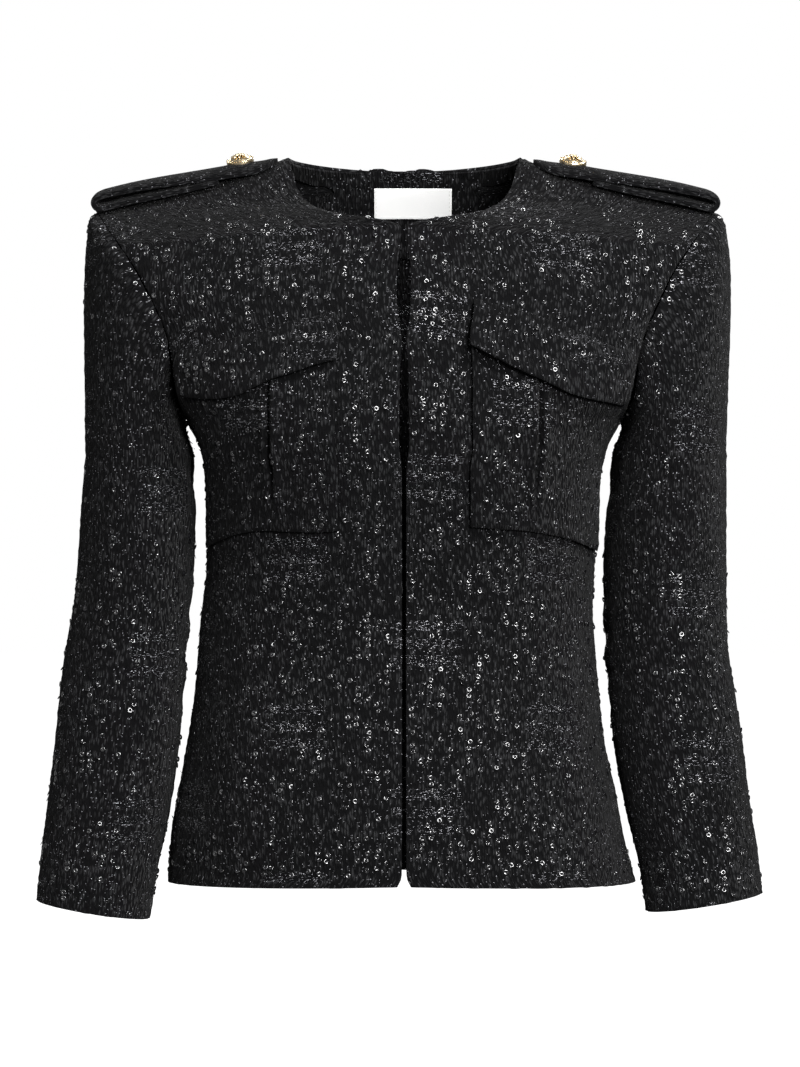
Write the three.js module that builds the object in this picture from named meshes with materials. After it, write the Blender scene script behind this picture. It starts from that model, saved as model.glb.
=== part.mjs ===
// A cropped evening jacket in sequinned black tweed, shaped as it is worn, with nobody in it.
// Millimetres, +Z up, the front faces -Y, and the wearer's left side is +X.
// The origin lies between the two side-neck points, where the neck and shoulders carry the jacket.

import * as THREE from 'three';

// Cloth and seams.
const TWEED = 2.6; // the tweed with its backing
const SEAM = 0.4; // the space left between two pieces that are sewn together
const LIE = 1.15; // the same space under a piece that lies on another
const ARMHOLE_SEAM = 0.9; // the same space where a sleeve is set in
const LEFT = 1; // the wearer's left, +X
const RIGHT = -1;

// How finely the cloth is divided.
const FRONT_COLUMNS = 13;
const BACK_COLUMNS = 11; // from the centre back to one side
const SLEEVE_COLUMNS = 24;
const FRONT_BETWEEN = [11.5, 12.5, 13.3, 13.65, 14.25, 14.5, 15.5, 16.5]; // extra rows where the chest turns
const BACK_BETWEEN = [12.5, 13.25, 13.5, 13.75, 14.5];
const CAP_STEPS = [0, 0.08, 0.18, 0.3, 0.45, 0.63, 0.82];

// The body of the jacket from the hem to the underarm, one row for each level.
// z, left and right: the side seam's height and its distance out on each side.
// zFront, front, gap: the front edge's height, its distance forward and half the open gap.
// bust, blade: how many degrees a front or a back leans outward as it leaves its centre.
// zBack, back: the same for the centre back. full: how squarely the cloth rounds to the side.
const BODY = table(
  ['z', 'left', 'right', 'zFront', 'front', 'gap', 'bust', 'zBack', 'back', 'blade', 'full'],
  [
    [-550, 176.0, 179.5, -545, 116.0, 5.0, 0, -552, 119.0, 0, 0.35],
    [-541, 173.5, 179.0, -536, 116.0, 1.7, 0, -543, 119.5, 0, 0.35],
    [-513, 166.5, 177.0, -510, 115.0, 1.6, 0, -514, 120.0, 0, 0.35],
    [-482, 161.0, 171.5, -480, 112.5, 1.5, 0, -483, 117.5, 0, 0.35],
    [-446, 153.0, 165.0, -445, 108.0, 1.5, 0, -446, 111.0, 0, 0.35],
    [-410, 148.5, 159.5, -410, 103.0, 1.5, 0, -410, 102.5, 0, 0.35],
    [-375, 145.5, 156.5, -375, 98.5, 1.5, 0, -375, 95.0, 0, 0.35],
    [-345, 143.5, 154.0, -345, 96.5, 1.5, -2, -345, 91.5, 0, 0.36],
    [-318, 144.5, 150.5, -318, 97.5, 1.5, -4, -318, 92.0, 0, 0.37],
    [-290, 146.0, 149.5, -290, 101.0, 1.5, -7, -290, 95.5, 1, 0.38],
    [-262, 148.0, 150.5, -262, 106.0, 1.6, -10, -262, 100.0, 2, 0.39],
    [-240, 150.0, 151.5, -241, 110.0, 1.5, -12, -240, 103.5, 3, 0.40],
    [-221, 154.5, 155.0, -221, 112.5, 3.6, -13, -221, 106.5, 4, 0.42],
    [-203, 163.6, 163.6, -203, 113.5, 3.4, -12.5, -203, 109.0, 5, 0.425],
  ],
);
const UNDERARM_ROW = BODY.length - 1;
const BODY_PULL = 0.5; // how far a body row runs straight from its centre

// The front above the underarm. Each row runs from the front edge or the neckline (in) to the armhole (out).
// turnIn, turnOut: the row's heading at its two ends, in degrees from +X towards the back.
// dip: how far the row sags below a straight line as it leaves the neckline.
const TOP_COLUMNS = [
  'xIn', 'yIn', 'zIn', 'left', 'right', 'yOut', 'zOut', 'turnIn', 'turnOut', 'pullIn', 'pullOut', 'dip',
];
const FRONT_TOP = table(TOP_COLUMNS, [
  [3.3, -113.5, -192, 168.0, 168.0, -38.0, -192.5, -12, 75, 0.43, 0.335, 0],
  [3.3, -112.5, -178, 171.5, 171.5, -57.0, -178.0, -11, 61, 0.40, 0.27, 0],
  [2.8, -110.5, -161, 174.0, 173.0, -65.5, -161.0, -8, 48, 0.38, 0.24, 0],
  [1.5, -108.0, -145, 178.0, 175.5, -68.0, -144.0, -6, 40, 0.36, 0.25, 0],
  [4.0, -104.0, -128, 184.0, 181.5, -67.5, -126.0, -4, 33, 0.35, 0.26, 0],
  [5.5, -98.5, -108, 192.5, 190.0, -64.5, -108.0, -2, 28, 0.34, 0.28, 0],
  [4.8, -91.5, -88, 201.0, 199.0, -58.5, -91.0, -1, 24, 0.34, 0.30, 0],
  [2.8, -85.0, -71, 208.5, 206.5, -52.5, -79.0, 0, 21, 0.33, 0.31, 0],
  [2.0, -80.0, -59, 213.5, 211.5, -48.0, -72.0, 1, 19, 0.33, 0.32, 0],
  [16.0, -78.5, -53, 217.5, 215.5, -43.5, -66.0, 3, 17, 0.33, 0.32, 0],
  [38.0, -74.0, -49.5, 222.0, 220.0, -37.0, -60.0, 5, 14, 0.33, 0.32, 0],
  [60.0, -63.0, -44.5, 226.5, 224.5, -29.5, -53.5, 6, 11, 0.33, 0.32, 0],
  [73.0, -48.0, -36.5, 230.0, 228.0, -21.0, -48.0, 6, 8, 0.33, 0.32, -2],
  [80.5, -33.0, -25.5, 232.7, 230.7, -13.0, -44.2, 4, 6, 0.33, 0.32, -4],
  [85.0, -18.0, -10.5, 234.2, 232.2, -5.0, -42.0, 2, 4, 0.33, 0.32, -6],
  [87.3, -8.0, -3.0, 234.8, 232.8, -0.8, -41.2, 1, 3, 0.33, 0.32, -7],
  [88.0, 0.0, 0.0, 235.0, 233.0, 3.0, -41.0, 0, 2, 0.33, 0.32, -8],
]);

// The back above the underarm, in the same way, from the centre back or the back neck to the armhole.
const BACK_TOP = table(TOP_COLUMNS, [
  [0.0, 110.5, -193, 166.5, 166.5, 36.0, -193.0, 5, -75, 0.45, 0.345, 0],
  [0.0, 112.0, -178, 171.0, 171.0, 57.0, -177.0, 5, -57, 0.41, 0.255, 0],
  [0.0, 112.5, -156, 176.0, 174.5, 66.5, -154.0, 5, -44, 0.38, 0.23, 0],
  [0.0, 111.0, -128, 184.0, 182.0, 69.0, -127.0, 4, -37, 0.36, 0.25, 0],
  [0.0, 106.0, -98, 194.5, 192.5, 66.0, -103.0, 3, -31, 0.35, 0.28, 0],
  [0.0, 97.0, -69, 205.5, 203.5, 58.5, -84.0, 2, -26, 0.34, 0.30, 0],
  [0.0, 84.0, -42, 213.0, 211.0, 51.0, -72.5, 1, -21, 0.33, 0.32, 0],
  [0.0, 71.0, -20, 218.0, 216.0, 44.5, -65.0, 0, -18, 0.33, 0.32, 0],
  [0.0, 62.0, -5, 221.5, 219.5, 39.0, -60.0, -1, -16, 0.33, 0.32, 0],
  [27.0, 59.5, -4.6, 225.5, 223.5, 32.0, -54.5, -3, -13, 0.33, 0.32, -1],
  [52.0, 50.0, -3.4, 229.0, 227.0, 25.0, -49.5, -4, -10, 0.33, 0.32, -3],
  [72.0, 34.0, -2.0, 232.0, 230.0, 17.0, -45.0, -4, -7, 0.33, 0.32, -5],
  [84.0, 16.0, -0.8, 234.2, 232.2, 9.5, -42.0, -2, -4, 0.33, 0.32, -7],
  [88.0, 0.0, 0.0, 235.0, 233.0, 3.0, -41.0, 0, -2, 0.33, 0.32, -8],
]);
const BACK_NECK_ROW = BODY.length + 8; // the row that starts at the centre of the back neck

// The armhole leans outward as it drops: its plane faces this way on the wearer's left.
const ARMHOLE_FACES = { x: 0.924, z: -0.382 };
const CAP_LEAVES_TOP = { left: 0.13, right: 0.085 }; // how far the sleeve head bulges past the shoulder
const CAP_LEAVES_SIDE = 0.33;
const CAP_ARRIVES = 0.4;
const CAP_UNDERARM = 0.4; // how much the sleeve still leaves sideways under the arm

// The sleeves below the underarm, one row for each ring.
// out, in: the ring's outer and inner edge; deep: half its depth; fore: how far it swings to the front;
// tilt: how far its outer side is raised, and its inner side lowered.
const SLEEVE = table(
  ['zLeft', 'zRight', 'outLeft', 'inLeft', 'outRight', 'inRight', 'deep', 'fore', 'tilt'],
  [
    [-228, -228, 245.5, 158.5, 242.5, 160.0, 61.0, -4, 1],
    [-264, -264, 245.5, 154.2, 245.5, 158.2, 58.5, -4, 1],
    [-310, -310, 245.5, 152.0, 248.5, 160.0, 55.5, -4, 1],
    [-342, -342, 245.3, 151.2, 251.5, 161.8, 53.6, -3, 1.5],
    [-372, -372, 246.0, 152.0, 256.5, 164.2, 51.2, -1, 2.5],
    [-402, -402, 250.0, 154.5, 260.5, 166.5, 49.5, 3, 3],
    [-447, -447, 256.5, 160.0, 264.5, 171.0, 47.0, 9, 4],
    [-493, -493, 261.5, 168.5, 269.5, 177.5, 44.5, 16, 5],
    [-531, -533, 267.0, 177.8, 274.0, 186.0, 42.5, 22, 6],
    [-563.5, -569, 270.0, 182.4, 277.0, 191.5, 41.0, 27, 7],
  ],
);

// The chest pockets, measured round the front from its edge (run) and down from the neck (z).
const POCKET_THICK = 2.8;
const POCKET_ROWS = 14;
const POCKET = table(
  ['run', 'topLeft', 'bottomLeft', 'topRight', 'bottomRight'],
  [
    [47, -130, -280.5, -139, -283.5],
    [64, -133, -282.0, -141, -284.5],
    [84, -137, -283.0, -144, -284.0],
    [104, -142, -285.5, -147, -283.5],
    [124, -149, -289.0, -151, -285.5],
    [146, -156, -294.0, -156, -290.5],
    [177, -164, -299.5, -164, -297.0],
  ],
);
const PLEAT_RUN = 97; // the pleat's two folds meet here
const PLEAT_OPEN = 3.4; // the groove between them
const PLEAT_DEEP = 2.0;
const POCKET_STATIONS = [47, 56, 65, 74, 83, 92, 101, 108.6, 112, 115.4, 124, 133, 142, 151, 160, 169, 177];

// The flaps over them, pointed at the middle and springing off the chest at their lower edge.
const FLAP_THICK = 3.0;
const FLAP_ROWS = [0, 0.2, 0.42, 0.65, 0.86, 1];
const FLAP = table(
  ['run', 'topLeft', 'lowLeft', 'springLeft', 'topRight', 'lowRight', 'springRight'],
  [
    [46, -114, -150.5, 8.5, -124, -161.0, 5.0],
    [60, -118, -158.5, 8.5, -127, -165.0, 5.5],
    [76, -122, -167.5, 8.0, -130, -170.5, 6.0],
    [92, -126, -174.0, 7.0, -134, -175.0, 6.0],
    [106, -131, -179.0, 6.5, -138, -180.0, 6.0],
    [118, -135, -183.0, 6.0, -141, -184.0, 5.5],
    [132, -140, -185.0, 5.5, -144, -185.0, 5.0],
    [148, -145, -186.0, 5.0, -147, -184.0, 4.6],
    [162, -149, -186.5, 4.6, -149, -182.0, 4.4],
    [172, -151, -186.5, 4.4, -150, -180.0, 4.2],
  ],
);
const FLAP_CLEARS_POCKET = 0.24; // the share of the flap's drop in which it rises off the chest

// The shoulder straps: each is one band, folded back under itself at its outer end.
// from: distance in from the outer end; rise: height of the band's middle above the shoulder line.
const STRAP_THICK = 4.4;
const STRAP_REACH = { left: 239.5, right: 237 };
const STRAP_MIDDLE = 2; // the strap's middle lies this far behind the side-neck point
const STRAP_SPREADS = [-1, -0.6, 0, 0.6, 1];
const STRAP_FOLD_END = 7; // the row where the fold ends and the upper ply starts
const STRAP = table(
  ['from', 'rise', 'half', 'crown'],
  [
    [96, 3.3, 19.5, 2.2],
    [72, 3.2, 20.5, 2.4],
    [46, 3.2, 21.5, 2.8],
    [26, 3.2, 22, 3.2],
    [12, 3.0, 22, 3.8],
    [5.2, 4.0, 22, 4.0],
    [2.3, 7.9, 22, 4.0],
    [5.2, 11.9, 22, 4.0],
    [12, 13.0, 22, 3.8],
    [26, 13.2, 22, 3.4],
    [46, 12.8, 21.5, 3.0],
    [72, 11.4, 20.5, 2.6],
    [94, 9.8, 19.5, 2.4],
    [108, 8.4, 19, 2.2],
    [120, 6.2, 18, 2.0],
    [130, 4.0, 16, 1.6],
    [137, 3.2, 12, 1.0],
    [141, 3.0, 6, 0.4],
  ],
);

// The domed metal buttons that hold the straps down.
const BUTTON_SIDES = 20;
const BUTTON_AT = { left: 129, right: 125 };
const BUTTON_TILT = 9; // degrees, lower on its outer side
const BUTTON_CLEAR = 0.4;
const BUTTON_PROFILE = table(
  ['radius', 'height'],
  [
    [0, 0],
    [9.3, 0],
    [10.5, 0.9],
    [10.5, 2.2],
    [9.6, 3.2],
    [8.5, 3.0],
    [7.9, 3.9],
    [5.6, 5.4],
    [2.8, 6.3],
    [0, 6.6],
  ],
);

// The tweed facing inside the back neck and the woven label on it.
const FACING_THICK = 1.8;
const FACING_SEAM = 0.6; // the space under the facing, and under the label
const FACING_DROP_ROW = BACK_NECK_ROW - 3;
const FACING_HALF = 86;
const FACING_COLUMNS = 14;
const FACING_ROWS = 4;
const LABEL_THICK = 0.9;
const LABEL = { from: -23, to: 37, top: -18, bottom: -42 };
const LABEL_COLUMNS = 8;

// Names the columns of a short table.
function table(columns, rows) {
  return rows.map((row) => Object.fromEntries(columns.map((name, i) => [name, row[i]])));
}

function mix(a, b, t) {
  return a + (b - a) * t;
}

function point(x, y, z) {
  return new THREE.Vector3(x, y, z);
}

// The slope where two steps meet, which never carries a curve past its rows.
function gentle(first, second) {
  return first * second > 0 ? 2 * first * second / (first + second) : 0;
}

// Reads a table between its rows: v counts rows, and every column passes smoothly through them.
function readRow(rows, v) {
  const i = Math.max(0, Math.min(Math.floor(v), rows.length - 2));
  const t = v - i;
  const before = rows[Math.max(i - 1, 0)];
  const after = rows[Math.min(i + 2, rows.length - 1)];
  const read = {};
  for (const name of Object.keys(rows[0])) {
    const a = rows[i][name];
    const b = rows[i + 1][name];
    const leave = i > 0 ? gentle(a - before[name], b - a) : b - a;
    const arrive = i + 2 < rows.length ? gentle(b - a, after[name] - b) : b - a;
    const t2 = t * t;
    const t3 = t2 * t;
    read[name] = (2 * t3 - 3 * t2 + 1) * a + (t3 - 2 * t2 + t) * leave
      + (3 * t2 - 2 * t3) * b + (t3 - t2) * arrive;
  }
  return read;
}

// Reads a table by the value of its first column.
function readAt(rows, column, value) {
  let v = 0;
  while (v < rows.length - 2 && (value - rows[v + 1][column]) * (rows[1][column] - rows[0][column]) > 0) {
    v += 1;
  }
  const a = rows[v][column];
  const b = rows[v + 1][column];
  return readRow(rows, v + (value - a) / (b - a));
}

function bezier(a, b, c, d, t) {
  const s = 1 - t;
  return a.clone().multiplyScalar(s * s * s)
    .addScaledVector(b, 3 * s * s * t)
    .addScaledVector(c, 3 * s * t * t)
    .addScaledVector(d, t * t * t);
}

// The body rows in the same columns as the rows above the underarm.
const frontRows = BODY.map((row) => ({
  xIn: row.gap, yIn: -row.front, zIn: row.zFront,
  left: row.left, right: row.right, yOut: 0, zOut: row.z,
  turnIn: row.bust, turnOut: 90, pullIn: BODY_PULL, pullOut: row.full, dip: 0,
})).concat(FRONT_TOP);
const backRows = BODY.map((row) => ({
  xIn: 0, yIn: row.back, zIn: row.zBack,
  left: row.left, right: row.right, yOut: 0, zOut: row.z,
  turnIn: row.blade, turnOut: -90, pullIn: BODY_PULL, pullOut: row.full, dip: 0,
})).concat(BACK_TOP);

// A point on the outside of a front or back: t runs from its inner edge to its outer edge, v counts rows.
function panelPoint(rows, side, t, v) {
  const row = readRow(rows, v);
  const xOut = side === LEFT ? row.left : row.right;
  const start = point(row.xIn, row.yIn, row.zIn);
  const end = point(xOut, row.yOut, row.zOut);
  const chord = Math.hypot(end.x - start.x, end.y - start.y);
  const fall = (end.z - start.z) / chord;
  const heading = (degrees) => {
    const turn = THREE.MathUtils.degToRad(degrees);
    return point(Math.cos(turn), Math.sin(turn), fall);
  };
  const leave = start.clone().addScaledVector(heading(row.turnIn), row.pullIn * chord);
  leave.z += row.dip;
  const arrive = end.clone().addScaledVector(heading(row.turnOut), -row.pullOut * chord);
  const spot = bezier(start, leave, arrive, end, t);
  const top = rows.length - 1;
  const faces = rows === frontRows ? -1 : 1;
  const shoulder = THREE.MathUtils.smoothstep(v, top - 1, top);
  const sideSeam = v <= UNDERARM_ROW ? Math.max(0, t * 2 - 1) : 0;
  spot.y += faces * (SEAM / 2) * Math.max(shoulder, sideSeam);
  spot.x *= side;
  return spot;
}

// The outward direction of the cloth there.
function panelNormal(rows, side, t, v) {
  const step = 0.01;
  const top = rows.length - 1;
  const across = panelPoint(rows, side, Math.min(t + step, 1), v)
    .sub(panelPoint(rows, side, Math.max(t - step, 0), v));
  const up = panelPoint(rows, side, t, Math.min(v + step, top))
    .sub(panelPoint(rows, side, t, Math.max(v - step, 0)));
  const faces = rows === frontRows ? 1 : -1;
  return across.cross(up).multiplyScalar(side * faces).normalize();
}

// Where a row is reached at a distance round from its inner edge, and at a height.
function locate(rows, side, run, z) {
  let v = UNDERARM_ROW;
  let t = 0.5;
  for (let round = 0; round < 6; round += 1) {
    t = shareAtRun(rows, side, run, v);
    v = rowAtHeight(rows, side, t, z);
  }
  return { t, v };
}

function shareAtRun(rows, side, run, v) {
  const pieces = 40;
  let walked = 0;
  let last = panelPoint(rows, side, 0, v);
  for (let i = 1; i <= pieces; i += 1) {
    const next = panelPoint(rows, side, i / pieces, v);
    const length = next.distanceTo(last);
    if (walked + length >= run) {
      return (i - 1 + (run - walked) / length) / pieces;
    }
    walked += length;
    last = next;
  }
  return 1;
}

function rowAtHeight(rows, side, t, z) {
  let low = 0;
  let high = rows.length - 1;
  for (let i = 0; i < 30; i += 1) {
    const middle = (low + high) / 2;
    if (panelPoint(rows, side, t, middle).z < z) {
      low = middle;
    } else {
      high = middle;
    }
  }
  return (low + high) / 2;
}

// Takes out of a direction the part that would lean into a neighbour.
function keepOff(direction, neighbour) {
  const lean = direction.dot(neighbour);
  if (lean > 0) {
    direction.addScaledVector(neighbour, -lean);
  }
}

// Joins an outer and an inner grid of points into one closed wall. A ring closes round its columns.
// Up to the row called shared, the first column is left open, to be met by another half.
function closedWall(outer, inner, ring, shared = 0) {
  const rows = outer.length;
  const columns = outer[0].length;
  const positions = [outer, inner].flat(2).flatMap((spot) => spot.toArray());
  const insideFrom = rows * columns;
  const index = [];
  const quad = (a, b, c, d) => index.push(a, b, c, a, c, d);
  const spans = ring ? columns : columns - 1;
  for (let r = 0; r < rows - 1; r += 1) {
    for (let c = 0; c < spans; c += 1) {
      const a = r * columns + c;
      const b = r * columns + (c + 1) % columns;
      quad(a, b, b + columns, a + columns);
      quad(insideFrom + a, insideFrom + a + columns, insideFrom + b + columns, insideFrom + b);
    }
  }
  for (let c = 0; c < spans; c += 1) {
    const next = (c + 1) % columns;
    const last = (rows - 1) * columns;
    quad(c, insideFrom + c, insideFrom + next, next);
    quad(last + c, last + next, insideFrom + last + next, insideFrom + last + c);
  }
  for (let r = 0; r < rows - 1 && !ring; r += 1) {
    const a = r * columns;
    const b = a + columns - 1;
    if (r >= shared) {
      quad(a, a + columns, insideFrom + a + columns, insideFrom + a);
    }
    quad(b, insideFrom + b, insideFrom + b + columns, b + columns);
  }
  if (volume(positions, index) < 0) {
    for (let i = 0; i < index.length; i += 3) {
      [index[i + 1], index[i + 2]] = [index[i + 2], index[i + 1]];
    }
  }
  return { positions, index };
}

function named(name, positions, index, material) {
  const geometry = new THREE.BufferGeometry();
  geometry.setAttribute('position', new THREE.Float32BufferAttribute(positions, 3));
  geometry.setIndex(index);
  const mesh = new THREE.Mesh(geometry, material);
  mesh.name = name;
  return mesh;
}

function wall(name, outer, inner, material, ring = false) {
  const { positions, index } = closedWall(outer, inner, ring);
  return named(name, positions, index, material);
}

// Signed volume, which tells whether the faces point out.
function volume(positions, index) {
  const corner = (i) => point(positions[3 * i], positions[3 * i + 1], positions[3 * i + 2]);
  let total = 0;
  for (let i = 0; i < index.length; i += 3) {
    total += corner(index[i]).dot(corner(index[i + 1]).cross(corner(index[i + 2])));
  }
  return total / 6;
}

function tweed() {
  return new THREE.MeshStandardMaterial({ color: 0x1c1c1f, roughness: 0.85, metalness: 0.05 });
}

function gold() {
  return new THREE.MeshStandardMaterial({ color: 0xd2a94e, roughness: 0.28, metalness: 1 });
}

function whiteSatin() {
  return new THREE.MeshStandardMaterial({ color: 0xf1f1ef, roughness: 0.5, metalness: 0 });
}

function armholeFacing(side) {
  return point(side * ARMHOLE_FACES.x, 0, ARMHOLE_FACES.z);
}

// The inside of a panel, with its edges cut square to the seams.
function panelInside(rows, side, t, v) {
  const atCentreBack = rows === backRows && t <= 0 && v <= BACK_NECK_ROW;
  const inward = panelNormal(rows, atCentreBack ? LEFT : side, t, v).negate();
  const faces = rows === frontRows ? 1 : -1;
  if (v >= rows.length - 1 || (t >= 1 && v <= UNDERARM_ROW)) {
    keepOff(inward, point(0, faces, 0));
  }
  if (t >= 1 && v >= UNDERARM_ROW) {
    keepOff(inward, armholeFacing(side));
  }
  if (atCentreBack) {
    inward.x = 0;
  }
  return panelPoint(rows, side, t, v).addScaledVector(inward, TWEED);
}

function steps(count) {
  return Array.from({ length: count + 1 }, (_, i) => i / count);
}

// The points of a panel on its outside and its inside: levels hold the rows, places the columns.
function makePanel(rows, between, places) {
  const levels = [...rows.keys(), ...between].sort((a, b) => a - b);
  return {
    rows,
    levels,
    outer: levels.map((v) => places.map(({ side, t }) => panelPoint(rows, side, t, v))),
    inner: levels.map((v) => places.map(({ side, t }) => panelInside(rows, side, t, v))),
  };
}

function placesOf(side, count) {
  return steps(count).map((t) => ({ side, t }));
}

const fronts = {
  [LEFT]: makePanel(frontRows, FRONT_BETWEEN, placesOf(LEFT, FRONT_COLUMNS)),
  [RIGHT]: makePanel(frontRows, FRONT_BETWEEN, placesOf(RIGHT, FRONT_COLUMNS)),
};

const backs = {
  [LEFT]: makePanel(backRows, BACK_BETWEEN, placesOf(LEFT, BACK_COLUMNS)),
  [RIGHT]: makePanel(backRows, BACK_BETWEEN, placesOf(RIGHT, BACK_COLUMNS)),
};

// The back is one piece: its two halves share their centre line up to the back neck.
function makeBack(name) {
  const shared = backs[LEFT].levels.indexOf(BACK_NECK_ROW);
  const positions = [];
  const index = [];
  for (const side of [LEFT, RIGHT]) {
    const half = closedWall(backs[side].outer, backs[side].inner, false, shared);
    const from = positions.length / 3;
    positions.push(...half.positions);
    index.push(...half.index.map((i) => i + from));
  }
  return named(name, positions, index, tweed());
}

// A point on the flat faces of a panel: column counts across it, v counts rows.
function onFaces(panel, grid, column, v) {
  const { levels } = panel;
  let r = 0;
  while (r < levels.length - 2 && levels[r + 1] <= v) {
    r += 1;
  }
  const c = Math.min(Math.floor(column), grid[r].length - 2);
  const up = (v - levels[r]) / (levels[r + 1] - levels[r]);
  const along = column - c;
  const near = grid[r][c];
  const far = grid[r + 1][c + 1];
  const corner = along >= up ? grid[r][c + 1] : grid[r + 1][c];
  const [first, second] = along >= up ? [along, up] : [up, along];
  return near.clone()
    .addScaledVector(corner.clone().sub(near), first)
    .addScaledVector(far.clone().sub(corner), second);
}

// A point lifted off the front, for what lies on it.
function overFront(side, run, z, lift) {
  const { t, v } = locate(frontRows, side, run, z);
  const panel = fronts[side];
  return onFaces(panel, panel.outer, t * FRONT_COLUMNS, v)
    .addScaledVector(panelNormal(frontRows, side, t, v), lift);
}

// A point inside the back, for what lies within it.
function withinBack(side, t, v, depth) {
  const inward = panelNormal(backRows, side, t, v).negate();
  if (v >= backRows.length - 1) {
    keepOff(inward, point(0, -1, 0));
  }
  return onFaces(backs[side], backs[side].inner, BACK_COLUMNS * t, v).addScaledVector(inward, depth);
}

// The armhole's edge as one loop: 0 at the shoulder, half a turn at the underarm, front side first.
function armholePoint(side, turn) {
  const onFront = turn >= 0.5;
  const rows = onFront ? frontRows : backRows;
  const share = onFront ? 2 - 2 * turn : 2 * turn;
  const top = rows.length - 1;
  const pieces = 60;
  const trail = steps(pieces).map((f) => panelPoint(rows, side, 1, mix(top, UNDERARM_ROW, f)));
  const lengths = trail.map((spot, i) => (i ? spot.distanceTo(trail[i - 1]) : 0));
  const goal = share * lengths.reduce((sum, length) => sum + length, 0);
  let walked = 0;
  for (let i = 1; i <= pieces; i += 1) {
    if (walked + lengths[i] >= goal || i === pieces) {
      const f = Math.min(1, (goal - walked) / lengths[i]);
      return trail[i - 1].clone().lerp(trail[i], f);
    }
    walked += lengths[i];
  }
  return trail[pieces];
}

function sleeveRing(side, turn, v) {
  const row = readRow(SLEEVE, v);
  const out = side === LEFT ? row.outLeft : row.outRight;
  const inside = side === LEFT ? row.inLeft : row.inRight;
  const z = side === LEFT ? row.zLeft : row.zRight;
  const angle = turn * 2 * Math.PI;
  const cos = Math.cos(angle);
  return point(
    side * ((out + inside) / 2 + (out - inside) / 2 * cos),
    -row.fore + row.deep * Math.sin(angle),
    z + row.tilt * cos,
  );
}

// The sleeve head: each line leaves the armhole square to it at the shoulder and turns down.
function capPoint(side, turn, t) {
  const facing = armholeFacing(side);
  const from = armholePoint(side, turn).addScaledVector(facing, ARMHOLE_SEAM);
  const to = sleeveRing(side, turn, 0);
  const share = 0.5 + 0.5 * Math.cos(turn * 2 * Math.PI);
  const reach = from.distanceTo(to);
  const topPull = side === LEFT ? CAP_LEAVES_TOP.left : CAP_LEAVES_TOP.right;
  const sideways = Math.max(share, CAP_UNDERARM);
  const heading = facing.multiplyScalar(sideways).add(point(0, 0, sideways - 1)).normalize();
  const leave = from.clone().addScaledVector(heading, reach * mix(CAP_LEAVES_SIDE, topPull, share * share));
  const arrive = to.clone().add(point(0, 0, reach * CAP_ARRIVES));
  return bezier(from, leave, arrive, to, t);
}

function sleevePoint(side, turn, level) {
  const caps = CAP_STEPS.length;
  if (level < caps) {
    return capPoint(side, turn, CAP_STEPS[level]);
  }
  return sleeveRing(side, turn, level - caps);
}

function makeSleeve(name, side) {
  const count = CAP_STEPS.length + SLEEVE.length;
  const turns = steps(SLEEVE_COLUMNS).slice(0, -1);
  const levels = Array.from({ length: count }, (_, level) => level);
  const outer = levels.map((level) => turns.map((turn) => sleevePoint(side, turn, level)));
  const inner = outer.map((row, level) => row.map((spot, c) => {
    const above = outer[Math.max(level - 1, 0)][c];
    const below = outer[Math.min(level + 1, count - 1)][c];
    const next = row[(c + 1) % row.length];
    const last = row[(c + row.length - 1) % row.length];
    const inward = next.clone().sub(last).cross(below.clone().sub(above)).multiplyScalar(side).normalize();
    if (level === 0) {
      keepOff(inward, armholeFacing(side).negate());
    }
    return spot.clone().addScaledVector(inward.normalize(), TWEED);
  }));
  return wall(name, outer, inner, tweed(), true);
}

// A pocket: cloth laid on the front, with a pleat down its middle whose two folds meet in a groove.
function makePocket(name, side) {
  const topName = side === LEFT ? 'topLeft' : 'topRight';
  const bottomName = side === LEFT ? 'bottomLeft' : 'bottomRight';
  const outer = [];
  const inner = [];
  for (const drop of steps(POCKET_ROWS)) {
    const outerRow = [];
    const innerRow = [];
    for (const run of POCKET_STATIONS) {
      const row = readAt(POCKET, 'run', run);
      const z = mix(row[topName], row[bottomName], drop);
      const fromPleat = Math.abs(run - PLEAT_RUN) / PLEAT_OPEN;
      const groove = Math.max(0, 1 - fromPleat) * PLEAT_DEEP * THREE.MathUtils.smoothstep(1 - drop, 0.1, 0.5);
      outerRow.push(overFront(side, run, z, LIE + POCKET_THICK - groove));
      innerRow.push(overFront(side, run, z, LIE));
    }
    outer.push(outerRow);
    inner.push(innerRow);
  }
  return wall(name, outer, inner, tweed());
}

function makeFlap(name, side) {
  const [topName, lowName, springName] = side === LEFT
    ? ['topLeft', 'lowLeft', 'springLeft'] : ['topRight', 'lowRight', 'springRight'];
  const outer = [];
  const inner = [];
  for (const drop of FLAP_ROWS) {
    const outerRow = [];
    const innerRow = [];
    for (const row of FLAP) {
      const z = mix(row[topName], row[lowName], drop);
      const cleared = THREE.MathUtils.smoothstep(drop, 0, FLAP_CLEARS_POCKET);
      const over = LIE + POCKET_THICK + LIE;
      const spring = Math.max(0, drop - FLAP_CLEARS_POCKET) / (1 - FLAP_CLEARS_POCKET);
      const lift = mix(LIE, over, cleared) + (row[springName] - POCKET_THICK) * spring;
      outerRow.push(overFront(side, row.run, z, lift + FLAP_THICK));
      innerRow.push(overFront(side, row.run, z, lift));
    }
    outer.push(outerRow);
    inner.push(innerRow);
  }
  return wall(name, outer, inner, tweed());
}

// The height of the shoulder seam at a distance out from the middle.
function shoulderHeight(side, x) {
  const top = frontRows.length - 1;
  let low = 0;
  let high = 1;
  for (let i = 0; i < 30; i += 1) {
    const middle = (low + high) / 2;
    if (Math.abs(panelPoint(frontRows, side, middle, top).x) < x) {
      low = middle;
    } else {
      high = middle;
    }
  }
  return panelPoint(frontRows, side, low, top).z;
}

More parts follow.
